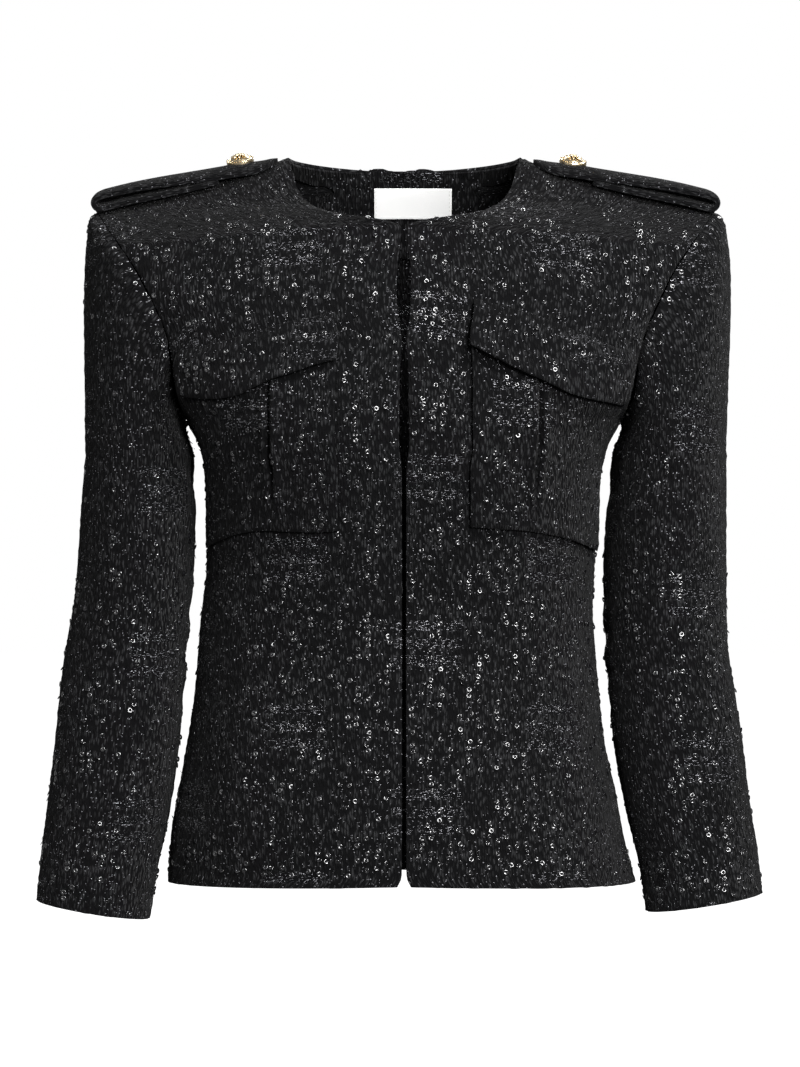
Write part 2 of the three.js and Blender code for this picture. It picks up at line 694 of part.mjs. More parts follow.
// The band's middle line at one station, and the points of one face of it across its width.
function strapLine(side, i) {
  const row = STRAP[i];
  const reach = side === LEFT ? STRAP_REACH.left : STRAP_REACH.right;
  const x = reach - row.from;
  return point(x, 0, shoulderHeight(side, x) + row.rise);
}

function strapFace(side, i, offset) {
  const row = STRAP[i];
  const here = strapLine(side, i);
  const before = strapLine(side, Math.max(i - 1, 0));
  const after = strapLine(side, Math.min(i + 1, STRAP.length - 1));
  const along = after.sub(before).normalize();
  const up = point(-along.z, 0, along.x);
  return STRAP_SPREADS.map((share) => {
    const spot = here.clone().addScaledVector(up, offset);
    return point(side * spot.x, STRAP_MIDDLE + share * row.half, spot.z - row.crown * share * share);
  });
}

function makeStrap(name, side) {
  const stations = STRAP.map((_, i) => i);
  const outer = stations.map((i) => strapFace(side, i, -STRAP_THICK / 2));
  const inner = stations.map((i) => strapFace(side, i, STRAP_THICK / 2));
  return wall(name, outer, inner, tweed());
}

function makeButton(name, side) {
  const profile = BUTTON_PROFILE.map((row) => new THREE.Vector2(row.radius, row.height));
  const geometry = new THREE.LatheGeometry(profile, BUTTON_SIDES);
  geometry.rotateX(Math.PI / 2);
  const button = new THREE.Mesh(geometry, gold());
  const x = side === LEFT ? BUTTON_AT.left : BUTTON_AT.right;
  const reach = side === LEFT ? STRAP_REACH.left : STRAP_REACH.right;
  const rise = readAt(STRAP.slice(STRAP_FOLD_END), 'from', reach - x).rise;
  const height = shoulderHeight(side, x) + rise + STRAP_THICK / 2 + BUTTON_CLEAR;
  button.position.set(side * x, STRAP_MIDDLE, height);
  button.rotation.y = THREE.MathUtils.degToRad(BUTTON_TILT * side);
  button.name = name;
  return button;
}

// The back neck facing: it hangs from the back neckline inside the back.
function makeFacing(name) {
  const top = backRows.length - 1;
  const place = (share, drop, depth) => {
    const side = share < 0 ? RIGHT : LEFT;
    const across = Math.abs(share);
    const from = mix(BACK_NECK_ROW, top, across);
    const v = mix(from, FACING_DROP_ROW, drop);
    const lowShare = shareAtRun(backRows, side, across * FACING_HALF, FACING_DROP_ROW);
    return withinBack(side, drop * lowShare, v, depth);
  };
  const shares = steps(FACING_COLUMNS).map((f) => 2 * f - 1);
  const drops = steps(FACING_ROWS);
  const outer = drops.map((drop) => shares.map((share) => place(share, drop, FACING_SEAM + FACING_THICK)));
  const inner = drops.map((drop) => shares.map((share) => place(share, drop, FACING_SEAM)));
  return wall(name, outer, inner, tweed());
}

// The label lies on the facing, a little to the wearer's left of the centre.
function makeLabel(name) {
  const place = (x, z, depth) => {
    const side = x < 0 ? RIGHT : LEFT;
    const { t, v } = locate(backRows, side, Math.abs(x), z);
    return withinBack(side, t, v, depth);
  };
  const base = FACING_SEAM + FACING_THICK + FACING_SEAM;
  const xs = steps(LABEL_COLUMNS).map((f) => mix(LABEL.from, LABEL.to, f));
  const zs = [LABEL.top, mix(LABEL.top, LABEL.bottom, 0.5), LABEL.bottom];
  const outer = zs.map((z) => xs.map((x) => place(x, z, base + LABEL_THICK)));
  const inner = zs.map((z) => xs.map((x) => place(x, z, base)));
  return wall(name, outer, inner, whiteSatin());
}

const jacket = new THREE.Group();
jacket.add(makeBack('back'));
for (const [side, hand] of [[LEFT, 'left'], [RIGHT, 'right']]) {
  jacket.add(wall(`front_${hand}`, fronts[side].outer, fronts[side].inner, tweed()));
  jacket.add(makeSleeve(`sleeve_${hand}`, side));
  jacket.add(makePocket(`pocket_${hand}`, side));
  jacket.add(makeFlap(`pocket_flap_${hand}`, side));
  jacket.add(makeStrap(`epaulette_${hand}`, side));
  jacket.add(makeButton(`epaulette_button_${hand}`, side));
}
jacket.add(makeFacing('neck_facing_back'));
jacket.add(makeLabel('neck_label'));

export default jacket;
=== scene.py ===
import math

import bpy
import numpy as np
from bpy.props import FloatProperty, FloatVectorProperty, IntProperty, PointerProperty
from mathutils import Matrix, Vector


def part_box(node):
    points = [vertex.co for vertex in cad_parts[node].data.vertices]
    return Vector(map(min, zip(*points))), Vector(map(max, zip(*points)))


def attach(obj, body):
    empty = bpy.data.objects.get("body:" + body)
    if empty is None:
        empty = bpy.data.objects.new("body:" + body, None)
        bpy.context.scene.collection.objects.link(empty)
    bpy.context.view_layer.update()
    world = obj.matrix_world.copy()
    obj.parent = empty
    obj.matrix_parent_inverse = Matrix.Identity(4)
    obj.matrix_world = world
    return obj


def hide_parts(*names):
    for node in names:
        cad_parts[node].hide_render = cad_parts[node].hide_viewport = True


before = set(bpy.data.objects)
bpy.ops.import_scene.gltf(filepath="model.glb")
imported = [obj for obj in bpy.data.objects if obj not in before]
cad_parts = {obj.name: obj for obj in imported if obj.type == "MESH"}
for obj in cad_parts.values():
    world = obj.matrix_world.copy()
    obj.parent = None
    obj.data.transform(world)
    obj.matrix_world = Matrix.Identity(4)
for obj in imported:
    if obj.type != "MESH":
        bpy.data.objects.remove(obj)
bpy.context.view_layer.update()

bl_info = {
    "name": "Sequinned tweed jacket",
    "version": (1, 0, 0),
    "blender": (4, 5, 0),
    "location": "3D View > Sidebar > Jacket",
    "description": "Makes a cropped black tweed jacket with sequins, pockets and shoulder straps",
    "category": "Object",
}

MM = 0.001
LEFT = 1  # the wearer's left, +X
RIGHT = -1
HANDS = {LEFT: "left", RIGHT: "right"}


def table(columns, rows):
    """A short table as named columns."""
    return {name: np.array(column, float) for name, column in zip(columns, zip(*rows))}


# The body from the hem to the underarm, in millimetres, one row for each level.
BODY_COLUMNS = ("z", "left", "right", "zFront", "front", "gap", "bust", "zBack", "back", "blade", "full")
BODY = table(BODY_COLUMNS, [
    (-550, 176.0, 179.5, -545, 116.0, 5.0, 0, -552, 119.0, 0, 0.35),
    (-541, 173.5, 179.0, -536, 116.0, 1.7, 0, -543, 119.5, 0, 0.35),
    (-513, 166.5, 177.0, -510, 115.0, 1.6, 0, -514, 120.0, 0, 0.35),
    (-482, 161.0, 171.5, -480, 112.5, 1.5, 0, -483, 117.5, 0, 0.35),
    (-446, 153.0, 165.0, -445, 108.0, 1.5, 0, -446, 111.0, 0, 0.35),
    (-410, 148.5, 159.5, -410, 103.0, 1.5, 0, -410, 102.5, 0, 0.35),
    (-375, 145.5, 156.5, -375, 98.5, 1.5, 0, -375, 95.0, 0, 0.35),
    (-345, 143.5, 154.0, -345, 96.5, 1.5, -2, -345, 91.5, 0, 0.36),
    (-318, 144.5, 150.5, -318, 97.5, 1.5, -4, -318, 92.0, 0, 0.37),
    (-290, 146.0, 149.5, -290, 101.0, 1.5, -7, -290, 95.5, 1, 0.38),
    (-262, 148.0, 150.5, -262, 106.0, 1.6, -10, -262, 100.0, 2, 0.39),
    (-240, 150.0, 151.5, -241, 110.0, 1.5, -12, -240, 103.5, 3, 0.40),
    (-221, 154.5, 155.0, -221, 112.5, 3.6, -13, -221, 106.5, 4, 0.42),
    (-203, 163.6, 163.6, -203, 113.5, 3.4, -12.5, -203, 109.0, 5, 0.425),
])
UNDERARM_ROW = len(BODY["z"]) - 1
BACK_NECK_ROW = len(BODY["z"]) + 8
FACING_DROP_ROW = BACK_NECK_ROW - 3
SEAM = 0.4  # open between two pieces where they meet
WALL = 2.6  # the body's cloth, from its outside to its inside
REPEAT_ACROSS = 98.0  # the weave's repeat, with one square of flat weave in it
REPEAT_UP = 124.0

# The fronts and the back above the underarm: each row runs from the front edge, the neckline or the
# centre back (in) to the armhole (out), and leaves and arrives at a heading in degrees.
TOP_COLUMNS = (
    "xIn", "yIn", "zIn", "left", "right", "yOut", "zOut", "turnIn", "turnOut", "pullIn", "pullOut", "dip",
)
FRONT_TOP = table(TOP_COLUMNS, [
    (3.3, -113.5, -192, 168.0, 168.0, -38.0, -192.5, -12, 75, 0.43, 0.335, 0),
    (3.3, -112.5, -178, 171.5, 171.5, -57.0, -178.0, -11, 61, 0.40, 0.27, 0),
    (2.8, -110.5, -161, 174.0, 173.0, -65.5, -161.0, -8, 48, 0.38, 0.24, 0),
    (1.5, -108.0, -145, 178.0, 175.5, -68.0, -144.0, -6, 40, 0.36, 0.25, 0),
    (4.0, -104.0, -128, 184.0, 181.5, -67.5, -126.0, -4, 33, 0.35, 0.26, 0),
    (5.5, -98.5, -108, 192.5, 190.0, -64.5, -108.0, -2, 28, 0.34, 0.28, 0),
    (4.8, -91.5, -88, 201.0, 199.0, -58.5, -91.0, -1, 24, 0.34, 0.30, 0),
    (2.8, -85.0, -71, 208.5, 206.5, -52.5, -79.0, 0, 21, 0.33, 0.31, 0),
    (2.0, -80.0, -59, 213.5, 211.5, -48.0, -72.0, 1, 19, 0.33, 0.32, 0),
    (16.0, -78.5, -53, 217.5, 215.5, -43.5, -66.0, 3, 17, 0.33, 0.32, 0),
    (38.0, -74.0, -49.5, 222.0, 220.0, -37.0, -60.0, 5, 14, 0.33, 0.32, 0),
    (60.0, -63.0, -44.5, 226.5, 224.5, -29.5, -53.5, 6, 11, 0.33, 0.32, 0),
    (73.0, -48.0, -36.5, 230.0, 228.0, -21.0, -48.0, 6, 8, 0.33, 0.32, -2),
    (80.5, -33.0, -25.5, 232.7, 230.7, -13.0, -44.2, 4, 6, 0.33, 0.32, -4),
    (85.0, -18.0, -10.5, 234.2, 232.2, -5.0, -42.0, 2, 4, 0.33, 0.32, -6),
    (87.3, -8.0, -3.0, 234.8, 232.8, -0.8, -41.2, 1, 3, 0.33, 0.32, -7),
    (88.0, 0.0, 0.0, 235.0, 233.0, 3.0, -41.0, 0, 2, 0.33, 0.32, -8),
])
BACK_TOP = table(TOP_COLUMNS, [
    (0.0, 110.5, -193, 166.5, 166.5, 36.0, -193.0, 5, -75, 0.45, 0.345, 0),
    (0.0, 112.0, -178, 171.0, 171.0, 57.0, -177.0, 5, -57, 0.41, 0.255, 0),
    (0.0, 112.5, -156, 176.0, 174.5, 66.5, -154.0, 5, -44, 0.38, 0.23, 0),
    (0.0, 111.0, -128, 184.0, 182.0, 69.0, -127.0, 4, -37, 0.36, 0.25, 0),
    (0.0, 106.0, -98, 194.5, 192.5, 66.0, -103.0, 3, -31, 0.35, 0.28, 0),
    (0.0, 97.0, -69, 205.5, 203.5, 58.5, -84.0, 2, -26, 0.34, 0.30, 0),
    (0.0, 84.0, -42, 213.0, 211.0, 51.0, -72.5, 1, -21, 0.33, 0.32, 0),
    (0.0, 71.0, -20, 218.0, 216.0, 44.5, -65.0, 0, -18, 0.33, 0.32, 0),
    (0.0, 62.0, -5, 221.5, 219.5, 39.0, -60.0, -1, -16, 0.33, 0.32, 0),
    (27.0, 59.5, -4.6, 225.5, 223.5, 32.0, -54.5, -3, -13, 0.33, 0.32, -1),
    (52.0, 50.0, -3.4, 229.0, 227.0, 25.0, -49.5, -4, -10, 0.33, 0.32, -3),
    (72.0, 34.0, -2.0, 232.0, 230.0, 17.0, -45.0, -4, -7, 0.33, 0.32, -5),
    (84.0, 16.0, -0.8, 234.2, 232.2, 9.5, -42.0, -2, -4, 0.33, 0.32, -7),
    (88.0, 0.0, 0.0, 235.0, 233.0, 3.0, -41.0, 0, -2, 0.33, 0.32, -8),
])
BODY_PULL = 0.5

# The sleeves below the underarm, one row for each ring, and how their heads leave the armhole.
SLEEVE = table(
    ("zLeft", "zRight", "outLeft", "inLeft", "outRight", "inRight", "deep", "fore", "tilt"),
    [
        (-228, -228, 245.5, 158.5, 242.5, 160.0, 61.0, -4, 1),
        (-264, -264, 245.5, 154.2, 245.5, 158.2, 58.5, -4, 1),
        (-310, -310, 245.5, 152.0, 248.5, 160.0, 55.5, -4, 1),
        (-342, -342, 245.3, 151.2, 251.5, 161.8, 53.6, -3, 1.5),
        (-372, -372, 246.0, 152.0, 256.5, 164.2, 51.2, -1, 2.5),
        (-402, -402, 250.0, 154.5, 260.5, 166.5, 49.5, 3, 3),
        (-447, -447, 256.5, 160.0, 264.5, 171.0, 47.0, 9, 4),
        (-493, -493, 261.5, 168.5, 269.5, 177.5, 44.5, 16, 5),
        (-531, -533, 267.0, 177.8, 274.0, 186.0, 42.5, 22, 6),
        (-563.5, -569, 270.0, 182.4, 277.0, 191.5, 41.0, 27, 7),
    ],
)
ARMHOLE_FACES = (0.924, 0.0, -0.382)
ARMHOLE_SEAM = 0.9
CAP_LEAVES_TOP = {LEFT: 0.13, RIGHT: 0.085}
CAP_LEAVES_SIDE = 0.33
CAP_ARRIVES = 0.4
CAP_UNDERARM = 0.4
SLEEVE_GIRTH = 300.0  # the cloth's width round a sleeve

# The pockets and flaps, measured round the front from its edge (run) and down from the neck.
POCKET_RUNS = (47, 177)
POCKET_DROP = 150
POCKET = table(("run", "topLeft", "bottomLeft", "topRight", "bottomRight"), [
    (47, -130, -280.5, -139, -283.5),
    (64, -133, -282.0, -141, -284.5),
    (84, -137, -283.0, -144, -284.0),
    (104, -142, -285.5, -147, -283.5),
    (124, -149, -289.0, -151, -285.5),
    (146, -156, -294.0, -156, -290.5),
    (177, -164, -299.5, -164, -297.0),
])
FLAP_RUNS = (46, 172)
FLAP_DROP = 45
FLAP = table(("run", "topLeft", "lowLeft", "springLeft", "topRight", "lowRight", "springRight"), [
    (46, -114, -150.5, 8.5, -124, -161.0, 5.0),
    (60, -118, -158.5, 8.5, -127, -165.0, 5.5),
    (76, -122, -167.5, 8.0, -130, -170.5, 6.0),
    (92, -126, -174.0, 7.0, -134, -175.0, 6.0),
    (106, -131, -179.0, 6.5, -138, -180.0, 6.0),
    (118, -135, -183.0, 6.0, -141, -184.0, 5.5),
    (132, -140, -185.0, 5.5, -144, -185.0, 5.0),
    (148, -145, -186.0, 5.0, -147, -184.0, 4.6),
    (162, -149, -186.5, 4.6, -149, -182.0, 4.4),
    (172, -151, -186.5, 4.4, -150, -180.0, 4.2),
])
LIE = 1.15  # how far off the cloth below a sewn-on piece lies
POCKET_THICK = 2.8
PLEAT_RUN = 97.0  # the pleat's two folds meet here
PLEAT_OPEN = 3.2  # half the groove between them
PLEAT_DEEP = 3.4
PLEAT_PROUD = 2.4
PLEAT_FOLD = 7.0  # how wide each fold is
PLEAT_LINES = PLEAT_RUN + np.array((-5, -3.4, -2.2, -1.1, 0, 1.1, 2.2, 3.4, 5))
FLAP_THICK = 3.0
FLAP_CLEARS_POCKET = 0.24

# The shoulder straps: one band, folded back under itself at its outer end.
STRAP = table(("from", "rise", "half", "crown"), [
    (96, 3.3, 19.5, 5.0), (72, 3.2, 20.5, 5.0), (46, 3.2, 21.5, 4.8), (26, 3.2, 22, 4.4),
    (12, 3.0, 22, 4.2), (5.2, 4.0, 22, 4.0), (2.3, 7.9, 22, 4.0), (5.2, 11.9, 22, 4.2),
    (12, 13.0, 22, 4.6), (26, 13.0, 22, 5.2), (46, 12.5, 21.5, 5.8), (72, 11.0, 20.5, 6.4),
    (94, 9.2, 19.5, 7.2), (108, 7.8, 19, 7.6), (120, 5.4, 18, 7.2), (130, 3.2, 16, 5.4),
    (137, 1.9, 12, 3.0), (141, 0.6, 6, 1.0),
])
STRAP_THICK = 5.4
STRAP_REACH = {LEFT: 239.5, RIGHT: 237.0}
STRAP_MIDDLE = 2.0

# The strap buttons, in millimetres and degrees.
BUTTON_RADIUS = 10.4
BUTTON_BASE = 2.0
BUTTON_STEPS = ((0.6, 0.7), (1.6, 0.1), (0.5, -0.35), (0.5, 0.85), (1.4, 0.95), (1.9, 0.85), (2.0, 0.45))
ROPE = {"count": 30, "radius": 9.35, "height": 2.9, "size": (1.25, 0.62, 0.85), "slant": 38}
ROSETTE_PETALS = 8
ROSETTE = ((0, 4.2, (2.3, 1.15, 0.75)), (1, 2.0, (1.5, 0.8, 0.8)))  # ring, radius and size of a petal
BUTTON_CROWN = 6.9
BUTTON_EYE = (1.15, 1.15, 0.8)
BUTTON_TILT = 9.0
BUTTON_NODS = 17.0  # degrees, on its shank, towards the front
BUTTON_DOWN = 1.9 * MM  # its back lies this far below the middle of its place
BUTTON_OUT = 0.6 * MM

# The facing inside the back neck and the label on it.
FACING_THICK = 1.8
FACING_SEAM = 0.6
FACING_HALF = 86.0
LABEL_THICK = 0.9
LABEL_FROM, LABEL_TO, LABEL_TOP, LABEL_BOTTOM = -23.0, 37.0, -15.2, -37.6

# The cup sequins. The rings' radius and height and the thickness are shares of the sequin's radius.
SEQUIN_SIDES = 9
SEQUIN_RINGS = ((1.0, 0.055), (0.6, 0.02), (0.2, 0.0))
SEQUIN_THICK = 0.09
SEQUIN_LIFT = 0.25
SEQUIN_SWAY = 0.9  # how far one strays from its sewn column
SEQUIN_PAIRS = 0.28  # share of the sequins with a close neighbour below
SEQUIN_PAIR_STEP = 2.1  # in radii
SEQUIN_LEAST_GAP = 6
SEQUIN_LEAN_SPREAD = 0.6

# The studio lights: name, place in metres, size and power.
LIGHTS = (
    ("key", (1.0, -1.7, 1.75), 0.8, 85),
    ("sparkle", (0.8, -2.6, 0.35), 0.75, 100),
    ("fill", (-2.0, -2.0, 0.3), 1.4, 12),
    ("rim", (0.2, 2.2, 1.1), 1.4, 30),
)
LIGHTS_AIM = (0, 0, -0.28)

# Creases, listed one by one: from and to in cloth millimetres, then width and depth (a trough is below 0).
CREASE_COLUMNS = ("fromAcross", "fromUp", "toAcross", "toUp", "width", "depth")
FRONT_CREASES = {
    LEFT: table(CREASE_COLUMNS, [
        (150, -205, 96, -216, 9, -1.8), (160, -318, 92, -338, 10, -1.3), (150, -352, 104, -362, 8, -1.0),
        (60, -330, 66, -500, 20, -1.6), (120, -390, 138, -545, 24, 2.0), (28, -400, 24, -530, 16, 1.2),
        (100, -95, 176, -112, 13, -1.2), (60, -72, 130, -66, 15, -0.9), (176, -420, 186, -540, 16, -1.5),
        (9, -160, 6, -205, 8, 0.9),
    ]),
    RIGHT: table(CREASE_COLUMNS, [
        (158, -204, 108, -214, 9, -1.6), (150, -330, 86, -342, 9, -1.4), (140, -306, 168, -312, 8, -1.0),
        (54, -350, 48, -505, 22, -1.5), (104, -380, 122, -548, 22, 2.2), (160, -430, 176, -545, 18, -1.7),
        (112, -90, 170, -116, 12, -1.0), (48, -80, 110, -70, 14, -0.8), (22, -420, 30, -540, 15, 1.3),
        (9, -158, 6, -200, 8, 0.8),
    ]),
}
BACK_CREASES = table(CREASE_COLUMNS, [
    (-150, -205, -88, -226, 11, -1.9), (152, -204, 96, -219, 10, -1.7), (-120, -328, -40, -345, 12, -1.9),
    (110, -334, 34, -350, 13, -1.6), (-60, -352, 20, -360, 11, -1.2), (-70, -372, -84, -540, 24, 2.3),
    (62, -380, 76, -545, 26, 2.0), (-6, -390, 4, -535, 20, -1.5), (-130, -400, -150, -540, 18, -1.8),
    (134, -402, 152, -542, 20, -1.6), (-70, -120, -130, -150, 14, -1.3), (66, -126, 128, -146, 13, -1.1),
    (-40, -18, 40, -20, 9, 0.9),
])
SLEEVE_CREASES = {
    LEFT: table(CREASE_COLUMNS, [
        (175, -352, 118, -372, 9, -2.3), (182, -384, 128, -396, 8, -1.9), (170, -326, 124, -340, 8, -1.4),
        (235, -372, 200, -388, 9, -1.7), (120, -404, 158, -424, 10, -1.3), (20, -380, 62, -392, 12, 1.2),
        (176, -238, 128, -262, 11, -2.0), (190, -228, 238, -258, 11, -1.7), (140, -262, 120, -300, 10, -1.2),
        (265, -290, 252, -500, 18, 1.6), (218, -440, 226, -545, 14, -1.4), (60, -300, 66, -350, 16, 1.0),
    ]),
    RIGHT: table(CREASE_COLUMNS, [
        (178, -366, 120, -380, 9, -2.1), (172, -338, 126, -348, 8, -1.6), (184, -396, 134, -412, 9, -1.7),
        (236, -386, 204, -398, 9, -1.5), (118, -420, 150, -436, 10, -1.2), (24, -394, 70, -404, 12, 1.1),
        (172, -236, 126, -256, 11, -1.9), (188, -232, 236, -252, 11, -1.5), (142, -270, 118, -312, 10, -1.3),
        (262, -300, 250, -510, 18, 1.5), (214, -450, 224, -550, 14, -1.5), (64, -310, 58, -352, 16, 1.1),
    ]),
}
FLAP_CREASES = table(CREASE_COLUMNS, [
    (70, -128, 150, -156, 14, 0.8), (56, -140, 110, -170, 9, -0.6), (140, -160, 168, -176, 8, 0.6),
])


def measure(name, description, millimetres, **limits):
    return FloatProperty(name=name, description=description, default=millimetres * MM, unit="LENGTH", **limits)


def tint(name, description, default):
    return FloatVectorProperty(name=name, description=description, subtype="COLOR", default=default)


class CLOTH_PG_sizes(bpy.types.PropertyGroup):
    """Sizes of the cloth and its trimmings."""

    pitch: measure("Grid pitch", "Distance between the points of a cloth piece", 3.0, min=1.5 * MM)
    thickness: measure("Cloth thickness", "Thickness of the tweed with its backing", 2.6)
    nub: measure("Nub height", "Unevenness of the tweed's surface", 0.22)
    sequin_radius: measure("Sequin radius", "Radius of a cup sequin", 2.2)
    sequin_column: measure("Sequin column", "Distance between two sewn columns of sequins", 7.2)
    sequin_gap: measure("Sequin gap", "Mean distance down a column between sequins", 25.0)
    sequin_tilt: FloatProperty(
        name="Sequin tilt", description="How far a sequin may lean",
        default=math.radians(21), subtype="ANGLE",
    )
    seed: IntProperty(name="Seed", description="Fixes the scatter of sequins and nubs", default=11)


class CLOTH_PG_colours(bpy.types.PropertyGroup):
    """Colours of the cloth, metal and label."""

    yarn_dark: tint("Dark yarn", "Darkest tape yarn", (0.0022, 0.0022, 0.0025))
    yarn_light: tint("Light yarn", "Lightest tape yarn", (0.021, 0.0213, 0.0224))
    # Painted shade: the near-black that the cloth is blended to in creases, the pleat groove and under the flaps,
    # where shade falls.
    yarn_shadow: tint("Painted shade in folds", "Painted shade on the tape yarn in folds and hollows", (0.0008, 0.0008, 0.0009))
    glitter: tint("Glitter", "Metallic thread", (0.42, 0.42, 0.45))
    sequin: tint("Sequin", "Black glossy sequin", (0.008, 0.008, 0.009))
    gold: tint("Button metal", "Gold-coloured metal", (0.83, 0.69, 0.46))
    label: tint("Label", "Bare satin tape", (0.83, 0.83, 0.82))


class CLOTH_PG_stage(bpy.types.PropertyGroup):
    """The floor, the lights and the camera."""

    floor: measure("Floor height", "Height of the floor", -800)
    camera_distance: measure("Camera distance", "Distance of the camera from the jacket", 3000)
    camera_height: measure("Camera height", "Height of the camera", -286)
    camera_side: measure("Camera side", "Sideways place of the camera", -3)
    surround: FloatProperty(
        name="Surround", description="How much light the white backdrop throws on the jacket",
        default=0.2, min=0.0,
    )
    lens: FloatProperty(name="Lens", description="Focal length in millimetres", default=133.0)


def mix(a, b, share):
    return a + (b - a) * share


def smoothstep(value, low, high):
    share = np.clip((value - low) / (high - low), 0, 1)
    return share * share * (3 - 2 * share)


def hump(distance, width):
    """1 at no distance, falling away smoothly to both sides."""
    return np.exp(-((distance / width) ** 2))


def unit(vectors):
    return vectors / np.maximum(np.linalg.norm(vectors, axis=-1, keepdims=True), 1e-9)


def stack(x, y, z):
    return np.stack(np.broadcast_arrays(x, y, z), axis=-1).astype(float)


def read_column(column, v):
    """One column between its rows, on a slope that never overshoots."""
    v = np.asarray(v, float)
    i = np.clip(np.floor(v).astype(int), 0, len(column) - 2)
    t = v - i
    step = np.diff(column)
    first, second = step[:-1], step[1:]
    total = np.where(first * second > 0, first + second, 1)
    middle = np.where(first * second > 0, 2 * first * second / total, 0)
    slope = np.concatenate([step[:1], middle, step[-1:]])
    t2, t3 = t * t, t * t * t
    return (
        (2 * t3 - 3 * t2 + 1) * column[i] + (t3 - 2 * t2 + t) * slope[i]
        + (3 * t2 - 2 * t3) * column[i + 1] + (t3 - t2) * slope[i + 1]
    )


def read_at(rows, by, name, value):
    """One column of a table, looked up by another that rises or falls all the way."""
    key = rows[by]
    count = np.arange(len(key))
    if key[0] > key[-1]:
        return read_column(rows[name], np.interp(value, key[::-1], count[::-1]))
    return read_column(rows[name], np.interp(value, key, count))


def whole_rows(top, edge, turn, faces, lean, height):
    """The body rows and the rows above them in the same columns."""
    body = {
        "xIn": BODY["gap"] if faces > 0 else BODY["z"] * 0, "yIn": -faces * BODY[edge], "zIn": BODY[height],
        "left": BODY["left"], "right": BODY["right"], "yOut": BODY["z"] * 0, "zOut": BODY["z"],
        "turnIn": BODY[lean], "turnOut": BODY["z"] * 0 + turn, "pullIn": BODY["z"] * 0 + BODY_PULL,
        "pullOut": BODY["full"], "dip": BODY["z"] * 0,
    }
    return {name: np.concatenate([body[name], top[name]]) for name in TOP_COLUMNS}


FRONT = whole_rows(FRONT_TOP, "front", 90.0, 1, "bust", "zFront")
BACK = whole_rows(BACK_TOP, "back", -90.0, -1, "blade", "zBack")


def bezier(a, b, c, d, t):
    s = 1 - t
    return s * s * s * a + 3 * s * s * t * b + 3 * s * t * t * c + t * t * t * d


def panel_points(rows, side, t, v):
    """Points on the outside of a front or back: t from its inner to its outer edge, v counts rows."""
    t, v = np.broadcast_arrays(np.asarray(t, float), np.asarray(v, float))
    row = {name: read_column(rows[name], v) for name in TOP_COLUMNS}
    start = stack(row["xIn"], row["yIn"], row["zIn"])
    end = stack(row["left"] if side == LEFT else row["right"], row["yOut"], row["zOut"])
    chord = np.hypot(end[..., 0] - start[..., 0], end[..., 1] - start[..., 1])
    fall = (end[..., 2] - start[..., 2]) / chord
    turn_in, turn_out = np.radians(row["turnIn"]), np.radians(row["turnOut"])
    leave = start + stack(np.cos(turn_in), np.sin(turn_in), fall) * (row["pullIn"] * chord)[..., None]
    leave[..., 2] += row["dip"]
    arrive = end - stack(np.cos(turn_out), np.sin(turn_out), fall) * (row["pullOut"] * chord)[..., None]
    spots = bezier(start, leave, arrive, end, t[..., None])
    top = len(rows["xIn"]) - 1
    faces = -1 if rows is FRONT else 1
    side_seam = np.where(v <= UNDERARM_ROW, np.clip(t * 2 - 1, 0, 1), 0)
    spots[..., 1] += faces * (SEAM / 2) * np.maximum(smoothstep(v, top - 1, top), side_seam)
    spots[..., 0] *= side
    return spots


def panel_normals(rows, side, t, v):
    step = 0.01
    top = len(rows["xIn"]) - 1
    out, inner = (panel_points(rows, side, s, v) for s in (np.minimum(t + step, 1), np.maximum(t - step, 0)))
    above, below = (panel_points(rows, side, t, r) for r in (np.minimum(v + step, top), np.maximum(v - step, 0)))
    faces = 1 if rows is FRONT else -1
    return unit(np.cross(out - inner, above - below) * side * faces)


def share_at_run(rows, side, run, v):
    """How far across a row a distance round from its inner edge is reached."""
    shares = np.linspace(0, 1, 41)
    run, v = np.broadcast_arrays(np.asarray(run, float), np.asarray(v, float))
    spots = panel_points(rows, side, shares, v[..., None])
    walked = np.cumsum(np.linalg.norm(np.diff(spots, axis=-2), axis=-1), axis=-1)
    walked = np.concatenate([np.zeros(walked.shape[:-1] + (1,)), walked], axis=-1)
    flat = [np.interp(r, w, shares) for r, w in zip(run.ravel(), walked.reshape(-1, 41))]
    return np.array(flat).reshape(run.shape)


def locate(rows, side, run, z):
    """Where on a panel a run from the inner edge and a height are reached."""
    run, z = np.broadcast_arrays(np.asarray(run, float), np.asarray(z, float))
    v = np.full(run.shape, float(UNDERARM_ROW))
    t = v
    for _ in range(6):
        t = share_at_run(rows, side, run, v)
        low = np.zeros(run.shape)
        high = low + len(rows["xIn"]) - 1
        for _ in range(24):
            middle = (low + high) / 2
            below = panel_points(rows, side, t, middle)[..., 2] < z
            low = np.where(below, middle, low)
            high = np.where(below, high, middle)
        v = (low + high) / 2
    return t, v


def creases(lines, across, up):
    """How far the cloth stands off its form at a place, from the creases that cross it."""
    lift = np.zeros(np.broadcast(across, up).shape)
    for i in range(len(lines["width"])):
        ax, ay = lines["fromAcross"][i], lines["fromUp"][i]
        bx, by = lines["toAcross"][i] - ax, lines["toUp"][i] - ay
        length = math.hypot(bx, by)
        along = ((across - ax) * bx + (up - ay) * by) / length
        aside = ((across - ax) * by - (up - ay) * bx) / length
        bow = 0.06 * length * np.sin(np.pi * np.clip(along / length, 0, 1))
        fade = smoothstep(along, -0.1 * length, 0.35 * length) * (1 - smoothstep(along, 0.6 * length, 1.1 * length))
        lift += lines["depth"][i] * fade * hump(aside + bow, lines["width"][i])
    return lift


